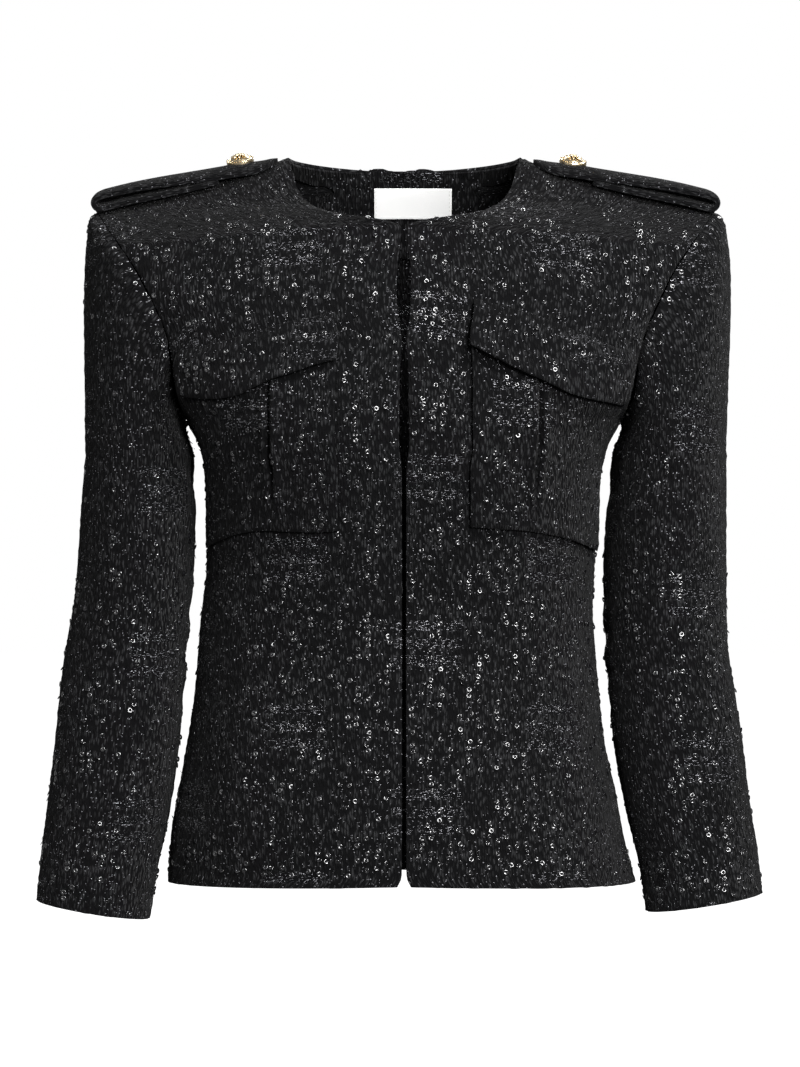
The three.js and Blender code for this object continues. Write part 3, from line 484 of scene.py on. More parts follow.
def cloth_levels(rows, side, pitch):
    """Row counts from the hem to the top, about one pitch apart."""
    shares = np.linspace(0, 1, 7)
    levels = [0.0]
    for i in range(len(rows["xIn"]) - 1):
        rise = panel_points(rows, side, shares, i + 1) - panel_points(rows, side, shares, i)
        count = max(1, round(float(np.linalg.norm(rise, axis=-1).max()) / pitch))
        levels += [i + (k + 1) / count for k in range(count)]
    return np.array(levels)


def cloth_shares(count):
    """Column shares, closer together at the two edges, where the cloth rolls into its seams."""
    return np.unique(np.concatenate([np.linspace(0, 1, count + 1), [0.005, 0.992]]))


class Surface:
    """A grid of points on the outside of a piece in millimetres, with its place in the cloth."""

    def __init__(self, points, across, up, faces):
        self.points = points
        self.across, self.up = np.broadcast_arrays(across, up)
        self.faces = faces
        self.normals = grid_normals(points, faces)

    def lifted(self, lift):
        """The same grid moved out along its normals."""
        return Surface(self.points + self.normals * lift[..., None], self.across, self.up, self.faces)


def grid_normals(points, faces):
    return unit(np.cross(np.gradient(points, axis=1), np.gradient(points, axis=0)) * faces)


def nubs(shape, height, seed):
    """Small uneven lifts that break up the cloth's outline."""
    return np.random.default_rng(seed).normal(0, height, shape)


def panel_surface(rows, side, pitch):
    levels = cloth_levels(rows, side, pitch)
    shares = cloth_shares(round(235 / pitch))
    points = panel_points(rows, side, shares[None, :], levels[:, None])
    across = np.cumsum(np.linalg.norm(np.diff(points, axis=1), axis=-1), axis=1)
    across = np.concatenate([np.zeros((len(levels), 1)), across], axis=1)
    climb = np.cumsum(np.linalg.norm(np.diff(points, axis=0), axis=-1), axis=0)
    up = points[:1, :, 2] + np.concatenate([np.zeros((1, len(shares))), climb], axis=0)
    faces = side * (1 if rows is FRONT else -1)
    surface = Surface(points, across, up, faces)
    surface.levels = levels
    edge = across[:, -1:] - across
    surface.roll = -0.9 * hump(edge, 2.6)
    return surface


def front_surface(side, pitch, nub, seed):
    surface = panel_surface(FRONT, side, pitch)
    lift = creases(FRONT_CREASES[side], surface.across, surface.points[..., 2]) + surface.roll
    lift += 0.5 * hump(surface.across - 5, 4) - 0.5 * hump(surface.across, 2.5)
    return surface.lifted(lift + nubs(lift.shape, nub, seed))


def back_surface(side, pitch, nub, seed):
    """Half of the back, eased over its centre line so that both halves run on smoothly."""
    surface = panel_surface(BACK, side, pitch)
    across = surface.across * side
    lift = creases(BACK_CREASES, across, surface.points[..., 2]) + surface.roll
    ease = 22.0
    lean = np.tan(np.radians(read_column(BACK["turnIn"], np.minimum(surface.levels, BACK_NECK_ROW))))[:, None]
    near = np.clip(ease - surface.across, 0, None)
    below_neck = surface.levels[:, None] <= BACK_NECK_ROW
    lift += np.where(below_neck, lean * near * near / (2 * ease), 0)
    noise = nubs(lift.shape, nub, seed)
    noise[:, 0] = 0
    surface.normals[:, 0, 0] = np.where(below_neck[:, 0], 0, surface.normals[:, 0, 0])
    return surface.lifted(lift + noise)


def armhole_trail(side, turns):
    """The armhole's edge as one loop: 0 at the shoulder, half a turn at the underarm, the back first."""
    spots = []
    for turn in turns:
        rows = FRONT if turn >= 0.5 else BACK
        share = 2 - 2 * turn if turn >= 0.5 else 2 * turn
        trail = panel_points(rows, side, 1.0, np.linspace(len(rows["xIn"]) - 1, UNDERARM_ROW, 61))
        walked = np.concatenate([[0], np.cumsum(np.linalg.norm(np.diff(trail, axis=0), axis=1))])
        goal = share * walked[-1]
        spots.append([np.interp(goal, walked, trail[:, k]) for k in range(3)])
    return np.array(spots)


def sleeve_ring(side, turns, v):
    hand = HANDS[side].title()
    row = {name: read_column(column, v) for name, column in SLEEVE.items()}
    out, inside, z = row["out" + hand], row["in" + hand], row["z" + hand]
    cos, sin = np.cos(turns * 2 * np.pi), np.sin(turns * 2 * np.pi)
    return stack(
        side * ((out + inside) / 2 + (out - inside) / 2 * cos),
        -row["fore"] + row["deep"] * sin,
        z + row["tilt"] * cos,
    )


def sleeve_surface(side, pitch, nub, seed):
    """A sleeve from the armhole to the cuff. Its last column is its first one again."""
    turns = np.linspace(0, 1, round(SLEEVE_GIRTH / pitch) + 1)
    facing = np.array(ARMHOLE_FACES) * (side, 1, 1)
    start = armhole_trail(side, turns[:-1])
    start = np.concatenate([start, start[:1]]) + facing * ARMHOLE_SEAM
    end = sleeve_ring(side, turns, 0.0)
    share = 0.5 + 0.5 * np.cos(turns * 2 * np.pi)
    sideways = np.maximum(share, CAP_UNDERARM)[:, None]
    heading = unit(facing * sideways + np.array((0, 0, 1)) * (sideways - 1))
    reach = np.linalg.norm(end - start, axis=1)[:, None]
    pull = mix(CAP_LEAVES_SIDE, CAP_LEAVES_TOP[side], share * share)[:, None]
    leave = start + heading * reach * pull
    arrive = end + np.array((0, 0, 1)) * reach * CAP_ARRIVES
    fine = np.linspace(0, 1, round(190 / pitch)) ** 1.25
    rows = [bezier(start, leave, arrive, end, t) for t in fine]
    last = len(SLEEVE["deep"]) - 1
    rows += [sleeve_ring(side, turns, v) for v in np.linspace(0, last, round(340 / pitch))[1:]]
    points = np.array(rows)
    across = np.broadcast_to(turns * SLEEVE_GIRTH, points.shape[:2])
    climb = np.concatenate([np.zeros((1, len(turns))), np.linalg.norm(np.diff(points, axis=0), axis=-1)])
    up = points[-1:, :, 2] + np.cumsum(climb[::-1], axis=0)[::-1]
    surface = Surface(points, across, up, -side)
    surface.normals[:, 0] = surface.normals[:, -1] = unit(surface.normals[:, 0] + surface.normals[:, -1])
    lift = creases(SLEEVE_CREASES[side], across, points[..., 2])
    seam = hump(across - 0.52 * SLEEVE_GIRTH, 3.2)
    lift = lift - 0.8 * seam * smoothstep(-points[..., 2], 190, 235)
    from_head = np.linalg.norm(points - points[:1], axis=-1)
    lift += 1.5 * hump(from_head - 9, 7) * share[None, :] - 0.7 * hump(from_head, 3)
    noise = nubs(lift.shape, nub, seed)
    noise[:, -1] = noise[:, 0]
    lift[:, -1] = lift[:, 0]
    return surface.lifted(lift + noise)


def over_front(side, run, z, lift):
    t, v = locate(FRONT, side, run, z)
    points = panel_points(FRONT, side, t, v)
    normals = panel_normals(FRONT, side, t, v)
    return points + normals * (lift + creases(FRONT_CREASES[side], run, z))[..., None]


def pocket_surface(side, pitch, nub, seed):
    hand = HANDS[side].title()
    first, last = POCKET_RUNS
    runs = np.unique(np.concatenate([np.linspace(first, last, round((last - first) / pitch) + 1), PLEAT_LINES]))
    drops = np.unique(np.concatenate([np.linspace(0, 1, round(POCKET_DROP / pitch) + 1), [0.992]]))
    top = read_at(POCKET, "run", "top" + hand, runs)
    bottom = read_at(POCKET, "run", "bottom" + hand, runs)
    z = mix(top[None, :], bottom[None, :], drops[:, None])
    run = np.broadcast_to(runs, z.shape)
    fade = smoothstep(1 - drops[:, None], 0.04, 0.36)
    away = np.abs(run - PLEAT_RUN)
    groove = PLEAT_DEEP * np.clip(1 - away / PLEAT_OPEN, 0, 1) * fade
    fold = PLEAT_PROUD * hump(away - PLEAT_FOLD * 0.6, 3.4) * fade * np.where(run < PLEAT_RUN, 1.25, 0.8)
    edge = np.minimum(np.minimum(run - first, last - run), (1 - drops[:, None]) * POCKET_DROP)
    roll = 0.7 * hump(edge - 4, 3.2) - 0.7 * hump(edge, 1.8)
    lift = LIE + POCKET_THICK - groove + fold + roll + nubs(z.shape, nub, seed)
    return Surface(over_front(side, run, z, lift), run, z, -side)


def flap_surface(side, pitch, nub, seed):
    hand = HANDS[side].title()
    first, last = FLAP_RUNS
    runs = np.linspace(first, last, round((last - first) / pitch) + 1)
    drops = np.linspace(0, 1, 20)
    top = read_at(FLAP, "run", "top" + hand, runs)
    low = read_at(FLAP, "run", "low" + hand, runs)
    spring = read_at(FLAP, "run", "spring" + hand, runs)
    z = mix(top[None, :], low[None, :], drops[:, None])
    run = np.broadcast_to(runs, z.shape)
    cleared = smoothstep(drops, 0, FLAP_CLEARS_POCKET)[:, None]
    proud = np.clip(drops - FLAP_CLEARS_POCKET, 0, None)[:, None] / (1 - FLAP_CLEARS_POCKET)
    lift = mix(LIE, LIE + POCKET_THICK + LIE, cleared) + (spring - POCKET_THICK) * proud + FLAP_THICK
    edge = np.minimum(np.minimum(run - first, last - run), (1 - drops[:, None]) * FLAP_DROP)
    lift = lift + 0.8 * hump(edge - 4.5, 3.2) - 0.5 * hump(edge, 1.8)
    lift = lift + creases(FLAP_CREASES, run, z) + nubs(z.shape, nub, seed)
    return Surface(over_front(side, run, z, lift), run, z, -side)


def within_back(side, t, v, depth):
    return panel_points(BACK, side, t, v) - panel_normals(BACK, side, t, v) * (WALL + depth)


def facing_surface(pitch):
    """The facing's inner side, which is the one that shows."""
    top = len(BACK["xIn"]) - 1
    drops = np.linspace(0, 1, round(80 / pitch))
    halves = []
    for side in (RIGHT, LEFT):
        across = np.linspace(0, 1, round(100 / pitch))
        start = mix(BACK_NECK_ROW, top, across)
        v = mix(start[None, :], FACING_DROP_ROW, drops[:, None])
        low_share = share_at_run(BACK, side, across * FACING_HALF, np.full(across.shape, float(FACING_DROP_ROW)))
        t = drops[:, None] * low_share[None, :]
        spots = within_back(side, t, v, FACING_SEAM + FACING_THICK)
        halves.append(spots[:, ::-1] if side == RIGHT else spots)
    halves[0][:, -1, 0] = 0
    points = np.concatenate([halves[0], halves[1][:, 1:]], axis=1)
    return Surface(points, points[..., 0], points[..., 2], -1)


def label_surface():
    base = FACING_SEAM + FACING_THICK + FACING_SEAM + LABEL_THICK
    xs = np.linspace(LABEL_FROM, LABEL_TO, 41)
    zs = np.linspace(LABEL_TOP, LABEL_BOTTOM, 17)
    columns = []
    for x in xs:
        side = RIGHT if x < 0 else LEFT
        t, v = locate(BACK, side, np.full(zs.shape, abs(x)), zs)
        columns.append(within_back(side, t, v, base))
    points = np.stack(columns, axis=1)
    for row in points:
        row[:, 0] = xs
        row[:, 1] = np.polyval(np.polyfit(xs, row[:, 1], 2), xs)
    return Surface(points, points[..., 0], points[..., 2], -1)


def shoulder_height(side, x):
    trail = panel_points(FRONT, side, np.linspace(0, 1, 200), len(FRONT["xIn"]) - 1.0)
    return np.interp(x, np.abs(trail[:, 0]), trail[:, 2])


def strap_faces(side):
    """The two faces of the folded band, as grids of stations by spreads."""
    stations = np.linspace(0, len(STRAP["from"]) - 1, 120)
    row = {name: read_column(column, stations) for name, column in STRAP.items()}
    x = STRAP_REACH[side] - row["from"]
    z = shoulder_height(side, x) + row["rise"]
    along = unit(np.stack([np.gradient(x), np.gradient(z)], axis=-1))
    spreads = np.sin(np.linspace(-1, 1, 21) * np.pi / 2)
    grids = []
    for offset in (-STRAP_THICK / 2, STRAP_THICK / 2):
        ease = offset * np.sqrt(np.clip(1 - 0.55 * spreads ** 6, 0, 1))
        px = x[:, None] - along[:, 1:] * ease[None, :]
        pz = z[:, None] + along[:, :1] * ease[None, :] - row["crown"][:, None] * spreads[None, :] ** 2
        py = STRAP_MIDDLE + row["half"][:, None] * spreads[None, :]
        grids.append(stack(side * px, py, pz))
    length = np.concatenate([[0], np.cumsum(np.hypot(np.diff(x), np.diff(z)))])
    return grids, length, row["half"][:, None] * spreads[None, :]


class Wire:
    """One socket of a material, so that shader maths reads as plain expressions."""

    def __init__(self, tree, socket):
        self.tree = tree
        self.socket = socket

    def made(self, kind, settings=None, values=None, output=0):
        """Adds any node: its settings are set first, then the values or links of its sockets."""
        node = self.tree.nodes.new(kind)
        for name, value in (settings or {}).items():
            setattr(node, name, value)
        for name, value in (values or {}).items():
            if isinstance(value, Wire):
                self.tree.links.new(value.socket, node.inputs[name])
            else:
                node.inputs[name].default_value = value
        return Wire(self.tree, node.outputs[output])

    def math(self, operation, first, second=0.0, third=0.0):
        return self.made("ShaderNodeMath", {"operation": operation}, {0: first, 1: second, 2: third})

    def __add__(self, other):
        return self.math("ADD", self, other)

    __radd__ = __add__

    def __sub__(self, other):
        return self.math("SUBTRACT", self, other)

    def __rsub__(self, other):
        return self.math("SUBTRACT", other, self)

    def __mul__(self, other):
        return self.math("MULTIPLY", self, other)

    __rmul__ = __mul__

    def __truediv__(self, other):
        return self.math("DIVIDE", self, other)

    def __gt__(self, other):
        return self.math("GREATER_THAN", self, other)

    def __lt__(self, other):
        return self.math("LESS_THAN", self, other)

    def __mod__(self, other):
        return self.math("FLOORED_MODULO", self, other)

    def ramp(self, low, high):
        """0 below low, 1 above high, and smooth between."""
        return self.made(
            "ShaderNodeMapRange", {"interpolation_type": "SMOOTHSTEP"},
            {"Value": self, "From Min": low, "From Max": high},
        )

    def blend(self, first, second):
        """Two colours mixed by this number."""
        return self.made(
            "ShaderNodeMix", {"data_type": "RGBA"},
            {0: self, 6: colour(first), 7: colour(second)}, output=2,
        )


def colour(value):
    return value if isinstance(value, Wire) else tuple(value)[:3] + (1.0,)


def new_material(name):
    """A material, a wire from which its maths starts, and its shader."""
    material = bpy.data.materials.new(name)
    material.use_nodes = True
    tree = material.node_tree
    return material, Wire(tree, None), tree.nodes["Principled BSDF"]


def feed(start, shader, **sockets):
    """Sets or links sockets of the shader, by name with spaces as underscores."""
    for name, value in sockets.items():
        target = shader.inputs[name.replace("_", " ")]
        if isinstance(value, Wire):
            start.tree.links.new(value.socket, target)
        else:
            target.default_value = value


def cloth_place(start):
    """Where a spot lies in the cut cloth, in millimetres across and up."""
    place = start.made("ShaderNodeUVMap", {"uv_map": "cloth"})
    return [start.made("ShaderNodeSeparateXYZ", values={0: place}, output=k) * 1000.0 for k in (0, 1)]


def grain(start, scale, detail=2.0):
    """Noise that is fixed to the piece."""
    place = start.made("ShaderNodeTexCoord", output=3)
    return start.made("ShaderNodeTexNoise", values={"Vector": place, "Scale": scale, "Detail": detail})


def relief(start, height, millimetres, strength=1.0):
    values = {"Height": height, "Distance": millimetres * MM, "Strength": strength}
    return start.made("ShaderNodeBump", values=values)


def tweed_material(name, patches=1.0, seed=0.0):
    """Black tape-yarn tweed: stretched floats, fine glitter, squares of flat metallic weave, and painted shade in
    its creases and hollows.
    """
    colours = bpy.context.scene.jacket_colours
    material, start, shader = new_material(name)
    across, up = cloth_place(start)
    across, up = across + seed, up + seed * 0.37

    def at(x, y):
        return start.made("ShaderNodeCombineXYZ", values={0: x, 1: y})

    def cells(x, y, output):
        return start.made(
            "ShaderNodeTexVoronoi", {"voronoi_dimensions": "2D"},
            {"Vector": at(x, y), "Scale": 1.0, "Randomness": 1.0}, output=output,
        )

    def noise(x, y, detail=2.0):
        return start.made(
            "ShaderNodeTexNoise", {"noise_dimensions": "2D"},
            {"Vector": at(x, y), "Scale": 1.0, "Detail": detail},
        )

    sway = (noise(across / 9.0, up / 14.0) - 0.5) * 2.2
    yarn_x, yarn_y = (across + sway) / 1.8, up / 6.2
    float_height = 1.0 - cells(yarn_x, yarn_y, 0).ramp(0.12, 0.62)
    float_tone = start.made("ShaderNodeSeparateColor", values={0: cells(yarn_x, yarn_y, 1)}, output=0)
    fuzz = noise(across / 0.55, up / 1.6, 3.0)
    clump = noise(across / 26.0, up / 34.0)
    speck = start.made("ShaderNodeSeparateColor", values={0: cells(across / 0.6, up / 0.6, 1)}, output=0)
    # A square of flat weave in each repeat, each other column set half way between.
    column = start.math("FLOOR", (across + 18.0) / REPEAT_ACROSS)
    stagger = (column % 2.0) * (REPEAT_UP / 2)
    in_x = (across + 18.0) % REPEAT_ACROSS
    in_y = (up + 22.0 + stagger) % REPEAT_UP
    edge = (noise(across / 5.0, up / 4.0) - 0.5) * 7.0
    square = (in_x + edge).ramp(10, 15) * (1.0 - (in_x + edge).ramp(56, 61))
    square = square * (in_y + edge).ramp(8, 11) * (1.0 - (in_y + edge).ramp(46, 49)) * patches
    bands = start.math("SINE", in_y * 0.49) * 0.5 + 0.5
    flat_weave = noise(across / 4.2, up / 0.62, 2.0)
    square = square * bands.ramp(0.18, 0.5)
    height = float_height * 0.75 + fuzz * 0.35
    height = height * (1.0 - square * 0.72) + flat_weave * square * 0.4
    tone = float_tone * 0.75 + fuzz * 0.4 + (clump - 0.5) * 0.4
    tone = (tone * (0.35 + 0.65 * float_height)) * (1.0 - square * 0.35) + flat_weave * square * 0.15
    glitter = speck.ramp(0.982, 0.995) * 0.7 + square * flat_weave.ramp(0.58, 0.68) * (speck > 0.66)
    glitter = start.math("MINIMUM", glitter, 1.0)
    cloth = tone.ramp(0.26, 1.0).blend(colours.yarn_dark, colours.yarn_light)
    # Painted shade: where ambient occlusion finds a crease, the pleat groove or cloth under a flap, the colour is
    # blended towards the yarn_shadow near-black.
    hollow = start.made("ShaderNodeAmbientOcclusion", {"samples": 4}, {"Distance": 12 * MM}, output=1)
    cloth = hollow.ramp(0.15, 0.75).blend(colours.yarn_shadow, cloth)
    surface = (glitter * 0.8).blend(cloth, colours.glitter)
    feed(
        start, shader, Base_Color=surface, Roughness=0.9 - glitter * 0.5, Metallic=glitter * 0.6,
        Normal=relief(start, height, 1.1), Sheen_Weight=0.025, Sheen_Roughness=0.5, Specular_IOR_Level=0.05,
    )
    return material


def sequin_material():
    colours = bpy.context.scene.jacket_colours
    material, start, shader = new_material("black sequin")
    streak = grain(start, 260.0, 1.0)
    tone = streak.ramp(0.3, 0.75).blend([c * 0.6 for c in colours.sequin], [c * 1.8 for c in colours.sequin])
    feed(
        start, shader, Base_Color=tone, Roughness=0.12 + streak * 0.08, Metallic=0.1, Coat_Weight=1.0,
        Coat_Roughness=0.05, Specular_IOR_Level=0.5,
    )
    return material


def gold_material():
    colours = bpy.context.scene.jacket_colours
    material, start, shader = new_material("gold-coloured metal")
    wear = grain(start, 420.0, 3.0)
    hollow = start.made("ShaderNodeAmbientOcclusion", values={"Distance": 1.6 * MM}, output=1)
    tone = wear.ramp(0.35, 0.7).blend(colours.gold, [min(1.0, c * 1.12) for c in colours.gold])
    aged = hollow.ramp(0.25, 0.85).blend([c * f for c, f in zip(colours.gold, (0.30, 0.24, 0.16))], tone)
    bump = relief(start, wear, 0.08, 0.5)
    feed(start, shader, Base_Color=aged, Roughness=0.2 + wear * 0.16, Metallic=1.0, Normal=bump)
    return material


def label_material():
    colours = bpy.context.scene.jacket_colours
    material, start, shader = new_material("white satin tape")
    across, up = cloth_place(start)
    threads = start.math("SINE", up * 14.0) * 0.5 + 0.5
    ribs = start.math("SINE", across * 9.0) * 0.5 + 0.5
    weave = threads * 0.6 + ribs * 0.4
    tone = weave.blend([c * 0.93 for c in colours.label], colours.label)
    bump = relief(start, weave, 0.06, 0.5)
    feed(start, shader, Base_Color=tone, Roughness=0.42 + weave * 0.12, Normal=bump, Sheen_Weight=0.15)
    return material


def thread_material(name, shade):
    material, start, shader = new_material(name)
    tone = grain(start, 1800.0).blend([c * 0.7 for c in shade], shade)
    feed(start, shader, Base_Color=tone, Roughness=0.6)
    return material


def mesh_object(name, points, faces, material, uvs=None, smooth=True):
    """A mesh from points in millimetres, with one cloth coordinate for each point."""
    mesh = bpy.data.meshes.new(name)
    mesh.from_pydata((np.asarray(points) * MM).tolist(), [], [tuple(map(int, face)) for face in faces])
    if uvs is not None:
        layer = mesh.uv_layers.new(name="cloth")
        corner = np.empty(len(mesh.loops), dtype=np.int32)
        mesh.loops.foreach_get("vertex_index", corner)
        layer.data.foreach_set("uv", (np.asarray(uvs)[corner] * MM).astype(np.float32).ravel())
    mesh.polygons.foreach_set("use_smooth", np.full(len(mesh.polygons), smooth))
    mesh.materials.append(material)
    mesh.validate()
    mesh.update()
    piece = bpy.data.objects.new(name, mesh)
    bpy.context.collection.objects.link(piece)
    return piece


def grid_faces(rows, columns, flip, offset=0):
    a = (np.arange(rows - 1)[:, None] * columns + np.arange(columns - 1)[None, :]).ravel() + offset
    order = (a, a + 1, a + columns + 1, a + columns)
    return np.stack(order[::-1] if flip else order, axis=1)


def select_only(*pieces):
    bpy.ops.object.select_all(action="DESELECT")
    for piece in pieces:
        piece.select_set(True)
    bpy.context.view_layer.objects.active = pieces[0]


def settle(piece):
    """Puts a piece's place into its mesh."""
    select_only(piece)
    bpy.ops.object.transform_apply(location=True, rotation=True, scale=True)


def edit_all(piece, operation, **values):
    """Runs one edit-mode operation on the whole of a piece."""
    select_only(piece)
    bpy.ops.object.mode_set(mode="EDIT")
    bpy.ops.mesh.select_all(action="SELECT")
    operation(**values)
    bpy.ops.object.mode_set(mode="OBJECT")


def soft_edge(piece, angle, width, segments):
    rim = piece.modifiers.new("soft edge", "BEVEL")
    rim.limit_method = "ANGLE"
    rim.angle_limit = math.radians(angle)
    rim.width = width
    rim.segments = segments


def surface_object(name, surfaces, material, thickness, weld=False):
    """Cloth from one or more grids: a smooth outer face with a real thickness behind it."""
    points, uvs, faces, offset = [], [], [], 0
    for surface in surfaces:
        rows, columns = surface.points.shape[:2]
        points.append(surface.points.reshape(-1, 3))
        uvs.append(np.stack([surface.across.ravel(), surface.up.ravel()], axis=1))
        faces.append(grid_faces(rows, columns, surface.faces < 0, offset))
        offset += rows * columns
    piece = mesh_object(name, np.concatenate(points), np.concatenate(faces), material, np.concatenate(uvs))
    if weld:
        edit_all(piece, bpy.ops.mesh.remove_doubles, threshold=0.02 * MM)
    wall = piece.modifiers.new("cloth thickness", "SOLIDIFY")
    wall.thickness = thickness
    wall.offset = -1.0
    soft_edge(piece, 55, thickness * 0.3, 2)
    return piece


def stand_for(piece, node):
    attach(piece, "root")
    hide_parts(node)


def flat_size(surface):
    """Width, length and area of a piece's cut, from its own cloth coordinates."""
    width = float(np.ptp(surface.across)) * MM
    length = float(np.ptp(surface.up)) * MM
    p = surface.points * MM
    cross = np.cross(p[:-1, 1:] - p[:-1, :-1], p[1:, :-1] - p[:-1, :-1])
    area = float(np.linalg.norm(cross, axis=-1).sum())
    return width, length, area


def declare_sheet(surfaces):
    sizes = [flat_size(surface) for surface in surfaces]
    width = sum(size[0] for size in sizes)
    length = max(size[1] for size in sizes)
    area = max(min(sum(size[2] for size in sizes), width * length), 0.31 * width * length)


def sew(name, node, surfaces, material, thickness, weld=False):
    """One cloth piece, put on the root body in place of its node's part."""
    piece = surface_object(name, surfaces, material, thickness, weld)
    stand_for(piece, node)
    declare_sheet(surfaces)


def sizes():
    return bpy.context.scene.jacket_sizes


def seed_for(side, step):
    return sizes().seed * 100 + step * 10 + (side > 0)


def cloth_of(make, side, step):
    size = sizes()
    return make(side, size.pitch / MM, size.nub / MM, seed_for(side, step))


class JACKET_OT_body(bpy.types.Operator):
    """Make the back and the two fronts."""

    bl_idname = "jacket.body"
    bl_label = "Body"

    def execute(self, context):
        material = tweed_material("tweed of the body")
        halves = [cloth_of(back_surface, side, 1) for side in (LEFT, RIGHT)]
        halves[1].across = -halves[1].across
        sew("back_cloth", "back", halves, material, sizes().thickness, weld=True)
        for side, hand in HANDS.items():
            surface = cloth_of(front_surface, side, 2)
            surface.across = surface.across * side
            node = f"front_{hand}"
            sew(f"{node}_cloth", node, [surface], material, sizes().thickness)
        return {"FINISHED"}


class JACKET_OT_sleeves(bpy.types.Operator):
    """Make the two set-in sleeves."""

    bl_idname = "jacket.sleeves"
    bl_label = "Sleeves"

    def execute(self, context):
        for side, hand in HANDS.items():
            material = tweed_material(f"tweed of the {hand} sleeve", seed=40.0 + 23.0 * side)
            surface = cloth_of(sleeve_surface, side, 3)
            node = f"sleeve_{hand}"
            sew(f"{node}_cloth", node, [surface], material, sizes().thickness, weld=True)
        return {"FINISHED"}


class JACKET_OT_pockets(bpy.types.Operator):
    """Make the pleated pockets and the pointed flaps over them."""

    bl_idname = "jacket.pockets"
    bl_label = "Pockets and flaps"

    def execute(self, context):
        tweed = tweed_material("tweed of the pockets", patches=0.85, seed=31.0)
        flap_tweed = tweed_material("tweed of the flaps", patches=0.45, seed=73.0)
        jobs = (
            ("pocket", pocket_surface, 4, tweed, POCKET_THICK * MM),
            ("pocket_flap", flap_surface, 5, flap_tweed, FLAP_THICK * MM),
        )
        for side, hand in HANDS.items():
            for name, make, step, material, thickness in jobs:
                surface = cloth_of(make, side, step)
                surface.across = surface.across * side
                node = f"{name}_{hand}"
                sew(f"{node}_cloth", node, [surface], material, thickness)
        return {"FINISHED"}


class JACKET_OT_straps(bpy.types.Operator):
    """Make the folded shoulder straps."""

    bl_idname = "jacket.straps"
    bl_label = "Shoulder straps"

    def execute(self, context):
        material = tweed_material("tweed of the straps", patches=0.0, seed=57.0)
        for side, hand in HANDS.items():
            (under, over), length, width = strap_faces(side)
            rows, columns = under.shape[:2]
            points = np.concatenate([under.reshape(-1, 3), over.reshape(-1, 3)])
            count = rows * columns
            faces = [grid_faces(rows, columns, side > 0), grid_faces(rows, columns, side < 0, count)]
            ring = list(range(columns)) + [r * columns + columns - 1 for r in range(1, rows)]
            ring += [count - 1 - k for k in range(1, columns)] + [r * columns for r in range(rows - 2, 0, -1)]
            rim = [(a, b, b + count, a + count) for a, b in zip(ring, ring[1:] + ring[:1])]
            faces.append(np.array(rim if side < 0 else [face[::-1] for face in rim]))
            uv = np.stack([width.ravel(), np.repeat(length, columns)], axis=1)
            under_uv = uv * (1 + 2 * STRAP_THICK / np.ptp(width), 1)
            strap = mesh_object(
                f"epaulette_{hand}_cloth", points, np.concatenate(faces), material, np.concatenate([under_uv, uv]),
            )
            edit_all(strap, bpy.ops.mesh.normals_make_consistent, inside=False)
            strap.data.update()
            soft_edge(strap, 50, 1.3 * MM, 3)
            stand_for(strap, f"epaulette_{hand}")
        return {"FINISHED"}


class JACKET_OT_buttons(bpy.types.Operator):
    """Make the domed strap buttons, with a plain rosette inside a rope border."""

    bl_idname = "jacket.buttons"
    bl_label = "Buttons"

    def execute(self, context):
        metal = gold_material()
        for side, hand in HANDS.items():
            low, high = (np.array(corner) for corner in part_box(f"epaulette_button_{hand}"))
            centre = (low + high) / 2
            parts = [self.shell()]
            for k in range(ROPE["count"]):
                turn = k * 2 * math.pi / ROPE["count"]
                slant = turn + math.radians(ROPE["slant"])
                parts.append(self.bead(ROPE["radius"], turn, ROPE["height"], ROPE["size"], slant))
            for ring, radius, size in ROSETTE:
                for k in range(ROSETTE_PETALS):
                    turn = (k + 0.5 * ring) * 2 * math.pi / ROSETTE_PETALS
                    parts.append(self.bead(radius, turn, BUTTON_CROWN - 0.16 * radius ** 1.45, size, turn))
            parts.append(self.bead(0.0, 0.0, BUTTON_CROWN, BUTTON_EYE, 0.0))
            select_only(*parts)
            bpy.ops.object.join()
            button = bpy.context.view_layer.objects.active
            button.name = f"epaulette_button_{hand}_metal"
            button.data.materials.clear()
            button.data.materials.append(metal)
            select_only(button)
            bpy.ops.object.shade_smooth_by_angle(angle=math.radians(40))
            button.rotation_euler = (math.radians(BUTTON_NODS), math.radians(BUTTON_TILT * side), 0)
            button.location = (centre[0] - side * BUTTON_OUT, centre[1], centre[2] - BUTTON_DOWN)
            settle(button)
            stand_for(button, f"epaulette_button_{hand}")
        return {"FINISHED"}

    def shell(self):
        """The button's round body: a disc drawn up into a rim, a groove and a dome."""
        bpy.ops.mesh.primitive_cylinder_add(
            vertices=64, radius=BUTTON_RADIUS * MM, depth=BUTTON_BASE * MM, location=(0, 0, BUTTON_BASE / 2 * MM),
        )
        body = bpy.context.view_layer.objects.active
        bpy.ops.object.mode_set(mode="EDIT")
        bpy.ops.mesh.select_all(action="DESELECT")
        bpy.ops.mesh.select_mode(type="FACE")
        bpy.ops.object.mode_set(mode="OBJECT")
        for face in body.data.polygons:
            face.select = face.normal.z > 0.9
        bpy.ops.object.mode_set(mode="EDIT")
        for inset, rise in BUTTON_STEPS:
            bpy.ops.mesh.inset(thickness=inset * MM, depth=0)
            bpy.ops.transform.translate(value=(0, 0, rise * MM))
        bpy.ops.object.mode_set(mode="OBJECT")
        return body

    def bead(self, radius, turn, height, size, heading):
        """One raised drop of the rope border or the rosette."""
        bpy.ops.mesh.primitive_uv_sphere_add(
            segments=12, ring_count=8, radius=1.0 * MM,
            location=(radius * MM * math.cos(turn), radius * MM * math.sin(turn), height * MM),
            rotation=(0, 0, heading),
        )
        drop = bpy.context.view_layer.objects.active
        drop.scale = size
        return drop


